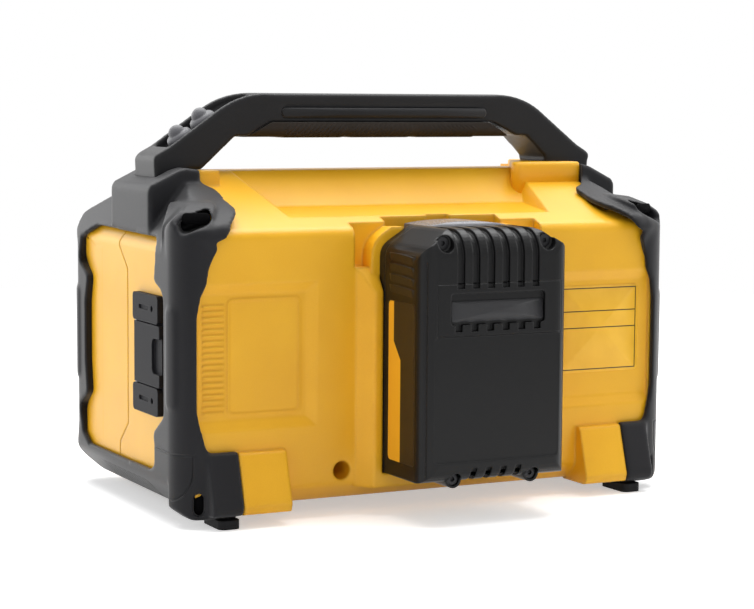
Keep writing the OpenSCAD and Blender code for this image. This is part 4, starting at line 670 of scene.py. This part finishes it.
# The handle's sloping ends, filled out a little: points near the slope, at t along it and d above it, move
# out along its normal by out * plateau(t) * rise(d). The far leg stands a little further out than the near
# one, its foot less so, and its lowest points stay.
handleLook = {"lattice": 0.0008, "passes": 10, "pull": 0.5}
slopeEnds = {"low": (0.1075, 0.1650), "high": (0.0809, 0.1836)}
slopeLook = {"out": 0.0018, "along": (-0.020, -0.006, 0.030, 0.056), "rise": (-0.012, -0.006),
             "farShift": 0.004, "farFrom": (0.045, 0.065), "farFoot": (0.080, 0.112),
             "farFloor": (0.1575, 0.1605), "farKeep": 0.3}


# Both ends of the slope as (x, z), the direction along it and its normal
def slopeFrame():
    low, high = np.array(slopeEnds["low"]), np.array(slopeEnds["high"])
    along = (high - low) / np.linalg.norm(high - low)
    return low, high, along, np.array([along[1], -along[0]])


def handleMoves(points):
    look = slopeLook
    low, _, along, out = slopeFrame()
    x, z = points[:, 0], points[:, 2]
    flat = np.stack([np.abs(x), z], -1) - low
    move = look["out"] * plateau(flat @ along, look["along"]) * rise(flat @ out, *look["rise"])
    far, foot, floor = rise(-x, *look["farFrom"]), rise(-x, *look["farFoot"]), rise(z, *look["farFloor"])
    shift = look["farShift"] * far * (1 - (1 - look["farKeep"]) * foot) * floor
    return points + np.stack([np.sign(x) * out[0] * move - shift, np.zeros_like(x), out[1] * move], -1)


shape = softCopy("handle", reshape=handleMoves, **handleLook)
addPiece("handleSkin", shape, "cabinet", "handleBlack", ["handle"])
print("pieces: bumpers and handle")

# Buffers in the handle's channels: a rounded base with a smaller ball on it, turned about the slope's normal.
# Depth is the channel's, and places are shares of the slope's length.
bufferLook = {"depth": 0.0029, "places": (0.3, 0.73), "base": 0.0064, "baseHeight": 0.0050, "easing": 0.0026,
              "easingTurn": (0, 78, 10), "ball": 0.0041, "ballSunk": 0.0004, "ballTurn": (8, 90, 16),
              "turns": 56}


# Profile rows of (radius, height)
def bufferProfile(look):
    base, height, easing = look["base"], look["baseHeight"], look["easing"]
    shoulder = arc((base - easing, height - easing), easing, *look["easingTurn"])
    ball = arc((0.0, height - look["ballSunk"]), look["ball"], *look["ballTurn"])
    return np.concatenate([[(0.0, 0.0), (base, 0.0)], shoulder, ball])


# Surface of revolution, foot + h axis + r (cos a side + sin a (axis x side)), about a unit axis square to y
def lathe(profile, foot, axis, turns):
    axis = np.array(axis)
    side = np.cross(axis, (0.0, 1.0, 0.0))
    angle = np.linspace(0, 2 * np.pi, turns, endpoint=False)[None, :, None]
    radius, height = profile.T[:, :, None, None]
    ring = np.cos(angle) * side + np.sin(angle) * np.cross(axis, side)
    return np.array(foot) + height * axis + radius * ring


def addBuffers(look):
    low, high, _, out = slopeFrame()
    meanY = np.mean(np.array(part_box("handle_domes"))[:, 1])
    for side, name in sides:
        for number, t in enumerate(look["places"], 1):
            footX, footZ = low + t * (high - low) - look["depth"] * out
            axis = (side * out[0], 0.0, out[1])
            points = lathe(bufferProfile(look), (side * footX, meanY, footZ), axis, look["turns"])
            mesh = gridMesh("buffer", points)
            bufferName = "buffer_%s_%d" % (name, number)
            addPiece(bufferName, mesh, "cabinet", "bufferRubber", ["handle_domes"])


addBuffers(bufferLook)

# Grip under the bar: its section, with two round corners, drawn along x to ends that lean with the bar's
# insert, x = t (half - lean (z - z0) / height), with slanting ridges in three fields. The ridges rise by
# h (1 + sin(2 pi (x + slant s) / pitch)) / 2 along the normal, s being the way round the section.
gripLook = {"corner": 0.0045, "cornerSteps": 14, "pitch": 0.0026, "height": 0.0004, "slant": 0.8,
            "fields": ((-0.052, -0.019), (-0.0165, 0.0165), (0.019, 0.052)), "fade": 0.0015,
            "topFade": 0.0008, "rows": 500, "step": 0.0005, "lean": 0.0131}


# One side down, a corner, the base, a corner and the other side up, as points (y, z)
def gripSection(look, low, high):
    r, count = look["corner"], look["cornerSteps"]
    wallCount = int((high[2] - low[2] - r) / look["step"])
    baseCount = int((high[1] - low[1] - 2 * r) / look["step"])
    wallZ = np.linspace(high[2], low[2] + r, wallCount, endpoint=False)
    baseY = np.linspace(low[1] + r, high[1] - r, baseCount, endpoint=False)
    return np.concatenate([
        np.stack([np.full(wallCount, low[1]), wallZ], -1),
        arc((low[1] + r, low[2] + r), r, 180, 270, count)[:-1],
        np.stack([baseY, np.full(baseCount, low[2])], -1),
        arc((high[1] - r, low[2] + r), r, 270, 360, count)[:-1],
        np.stack([np.full(wallCount, high[1]), wallZ[::-1]], -1)])


def gripRings(look):
    low, high = np.array(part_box("handle_grip"))
    section = gripSection(look, low, high)
    way = np.gradient(section, axis=0)
    length = np.linalg.norm(way, axis=1)
    run = np.cumsum(length)
    normal = np.stack([way[:, 1], -way[:, 0]], -1) / length[:, None]
    lean = look["lean"] * (section[:, 1] - low[2]) / (high[2] - low[2])
    x = np.linspace(-1, 1, look["rows"])[:, None] * (high[0] - lean)[None, :]
    fade, top = look["fade"], look["topFade"]
    inField = sum(plateau(x, (a, a + fade, b - fade, b)) for a, b in look["fields"])
    below = rise(section[:, 1], high[2] - top, high[2] - 2 * top)
    wave = 0.5 + 0.5 * np.sin(2 * np.pi * (x + look["slant"] * run[None, :]) / look["pitch"])
    height = look["height"] * wave * inField * below[None, :]
    flat = section[None] + height[..., None] * normal[None]
    return np.concatenate([x[..., None], flat], -1)


shape = closedSkin("gripSkin", gripRings(gripLook))
addPiece("gripSkin", shape, "cabinet", "gripRubber", ["handle_grip"])
print("pieces: buffers and grip")

# Finger ridges on the pack's sides: overlapping scales, each rising outwards and ending at a sharp upper
# edge. Their height is rise * frac((z - z0 + bow (y - y0)^2) / pitch) - sunk, and the sheet's back lies
# inside the pack.
ridgeLook = {"gapAbove": 0.0025, "height": 0.019, "pitch": 0.0048, "rise": 0.0008, "bow": 2.0,
             "inset": 0.0008, "border": 0.002, "sunk": 0.0002, "rows": 150, "columns": 40}


def ridgeRings(look, side):
    panel, case = np.array(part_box("pack_side_panels")), np.array(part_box("pack_case"))
    y = np.linspace(panel[0, 1], panel[1, 1], look["columns"])
    low = panel[1, 2] + look["gapAbove"]
    z = np.linspace(low, low + look["height"], look["rows"])
    face = case[1, 0] if side > 0 else case[0, 0]
    phase = (z[:, None] - low + look["bow"] * (y[None, :] - y[0]) ** 2) / look["pitch"]
    inside = plateau(y, (y[0], y[0] + look["border"], y[-1] - look["border"], y[-1]))
    height = look["rise"] * (phase - np.floor(phase)) * inside[None, :] - look["sunk"]
    y, z = np.broadcast_to(y, height.shape), np.broadcast_to(z[:, None], height.shape)
    outer = np.stack([face + side * height, y, z], -1)
    back = outer[:, ::-1].copy()
    back[..., 0] = face - side * look["inset"]
    return np.concatenate([outer, back], 1)


for side, name in sides:
    shape = closedSkin("fingerRidges", ridgeRings(ridgeLook, side))
    addPiece("fingerRidges_" + name, shape, "pack", "ridgeBlack")

# Thin plates with round corners, standing on a floor that faces the rear. Their face leans by lean over their
# height, y = floor + depth - lean (z - z0) / (z1 - z0), and the last ring is drawn in a little to ease the
# edge.
plateShape = {"sunk": 0.0003, "shoulder": 0.6, "lean": 0.0, "cornerSteps": 8}


def plateRings(own):
    look = {**plateShape, **own}
    (x0, z0), (x1, z1), r = look["low"], look["high"], look["corner"]
    centres = ((x1 - r, z1 - r), (x0 + r, z1 - r), (x0 + r, z0 + r), (x1 - r, z0 + r))
    outline = np.concatenate([arc(centre, r, 90 * turn, 90 * turn + 90, look["cornerSteps"])
                              for turn, centre in enumerate(centres)])
    depths = look["floor"] + np.array([-look["sunk"], look["shoulder"] * look["thick"], look["thick"]])
    inset = np.array([1.0, 1.0, look["ease"]])
    middle = outline.mean(0)
    flat = middle + (outline - middle)[None] * inset[:, None, None]
    y = depths[:, None] - look["lean"] * (flat[..., 1] - z0) / (z1 - z0)
    return np.stack([flat[..., 0], y, flat[..., 1]], -1)


# Near-black floors of the oval hole and of the slot in each rear corner, painted shade for the depth of the
# holes: plates across them, turned about the upright axis
floorLooks = {
    "holeShadeFloor": {"low": (-0.0027, -0.0055), "high": (0.0027, 0.0085), "corner": 0.0026, "floor": -0.0034,
                  "thick": 0.0004, "ease": 0.99, "at": (0.1185, 0.0510, 0.0110), "turn": -20.0},
    "slotShadeFloor": {"low": (-0.0062, -0.0024), "high": (0.0062, 0.0024), "corner": 0.0020, "floor": -0.0060,
                  "thick": 0.0004, "ease": 0.99, "at": (0.1193, 0.0493, 0.1364), "turn": -25.0},
}


def floorRings(look, side):
    flat = plateRings(look)
    turn = math.radians(look["turn"])
    atX, atY, atZ = look["at"]
    x = atX + flat[..., 0] * math.cos(turn) - flat[..., 1] * math.sin(turn)
    y = atY + flat[..., 0] * math.sin(turn) + flat[..., 1] * math.cos(turn)
    return np.stack([side * x, y, atZ + flat[..., 2]], -1)


for side, name in sides:
    for kind, look in floorLooks.items():
        shape = closedSkin(kind, floorRings(look, side))
        addPiece(kind + "_" + name, shape, "cabinet", "paintedShadeBlack")
print("pieces: finger ridges and dark floors")

# Shallow dish of each end panel, a thin skin over the housing's deeper one. Its depth is
# deep * t^power * plateau(z), where t runs from 0 at its start to 1 at the front post. Its back, upper and
# lower edges are tucked a little under the housing's face.
dishLook = {"end": 0.12506, "back": -0.0500, "start": -0.0590, "front": -0.0845, "low": 0.0215,
            "high": 0.1215, "deep": 0.0024, "power": 1.5, "heights": (0.0290, 0.0400, 0.1090, 0.1200),
            "thick": 0.0005, "tuck": 0.0003, "tuckOver": 0.004, "rows": 90, "columns": 40}


def dishRings(look, side):
    y = np.linspace(look["back"], look["front"], look["columns"])
    z = np.linspace(look["low"], look["high"], look["rows"])
    t = rise(y, look["start"], look["front"])
    over = look["tuckOver"]
    inside = plateau(z, (look["low"], look["low"] + over, look["high"] - over, look["high"]))
    shown = np.minimum(inside[:, None], rise(y, look["back"], look["back"] - over)[None, :])
    depth = look["deep"] * t[None, :] ** look["power"] * plateau(z, look["heights"])[:, None]
    x = look["end"] - depth - look["tuck"] * (1 - shown)
    y, z = np.broadcast_to(y, x.shape), np.broadcast_to(z[:, None], x.shape)
    outer = np.stack([side * x, y, z], -1)
    inner = np.stack([side * (x - look["thick"]), y, z], -1)[:, ::-1]
    return np.concatenate([outer, inner], 1)


for side, name in sides:
    shape = closedSkin("dishSkin", dishRings(dishLook, side))
    addPiece("dishSkin_" + name, shape, "cabinet", "housingYellow")

# Springs under the release hump: a copy of the CAD helices on the pack, with the middle of their lowest ring
# taken as their seat
springLow, springHigh = np.array(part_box("release_springs"))
shape = cadNodes["release_springs"].data.copy()
springs = addPiece("humpSprings", shape, "pack", "zincSteel", ["release_springs"])
seat = (springLow + springHigh) / 2
seat[2] = springLow[2]
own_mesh(springs)

# Raised band along the rear of the handle's bar
bandLook = {"low": (-0.0570, 0.1795), "high": (0.0530, 0.1842), "corner": 0.0022, "floor": -0.0062,
            "thick": 0.0007, "ease": 0.99}
shape = closedSkin("barBand", plateRings(bandLook))
addPiece("barBand", shape, "cabinet", "handleBlack")

# Block of the housing under the handle's far leg: its plan, with round corners and a slanting end, carried up
# to an eased top edge. A corner is x, y, radius, first and last angle.
blockLook = {"corners": ((-0.0725, 0.0006, 0.0040, -27, 90), (-0.1040, 0.0031, 0.0015, 90, 180),
                         (-0.1040, -0.0415, 0.0015, 180, 270), (-0.0925, -0.0415, 0.0015, 270, 333)),
             "cornerSteps": 10, "heights": (0.1400, 0.1562, 0.1574, 0.1580),
             "scales": (1.0, 1.0, 0.99, 0.955)}


def blockRings(look):
    plan = np.concatenate([arc((x, y), r, a, b, look["cornerSteps"]) for x, y, r, a, b in look["corners"]])
    middle = plan.mean(0)
    flat = middle + (plan - middle)[None] * np.array(look["scales"])[:, None, None]
    up = np.broadcast_to(np.array(look["heights"])[:, None, None], (*flat.shape[:2], 1))
    return np.concatenate([flat, up], -1)


shape = closedSkin("legBlock", blockRings(blockLook))
addPiece("legBlock", shape, "cabinet", "housingYellow")
print("pieces: end dishes, hump springs, bar band and leg block")

# Blank label in the far recess, and the insert of the window on the pack's rear
labelPlateLook = {"low": (-0.1125, 0.0585), "high": (-0.0685, 0.1005), "corner": 0.0022, "floor": 0.0468,
                  "thick": 0.0003, "ease": 0.996}
insertLook = {"low": (-0.0306, 0.0913), "high": (0.0166, 0.1006), "corner": 0.0012, "floor": 0.0922,
              "thick": 0.0012, "lean": 0.0006, "ease": 0.988}
shape = closedSkin("labelPlate", plateRings(labelPlateLook))
addPiece("labelPlate", shape, "cabinet", "blankLabel")
shape = closedSkin("windowInsert", plateRings(insertLook))
addPiece("windowInsert", shape, "pack", "packWindow")
print("pieces: label plate and window insert")
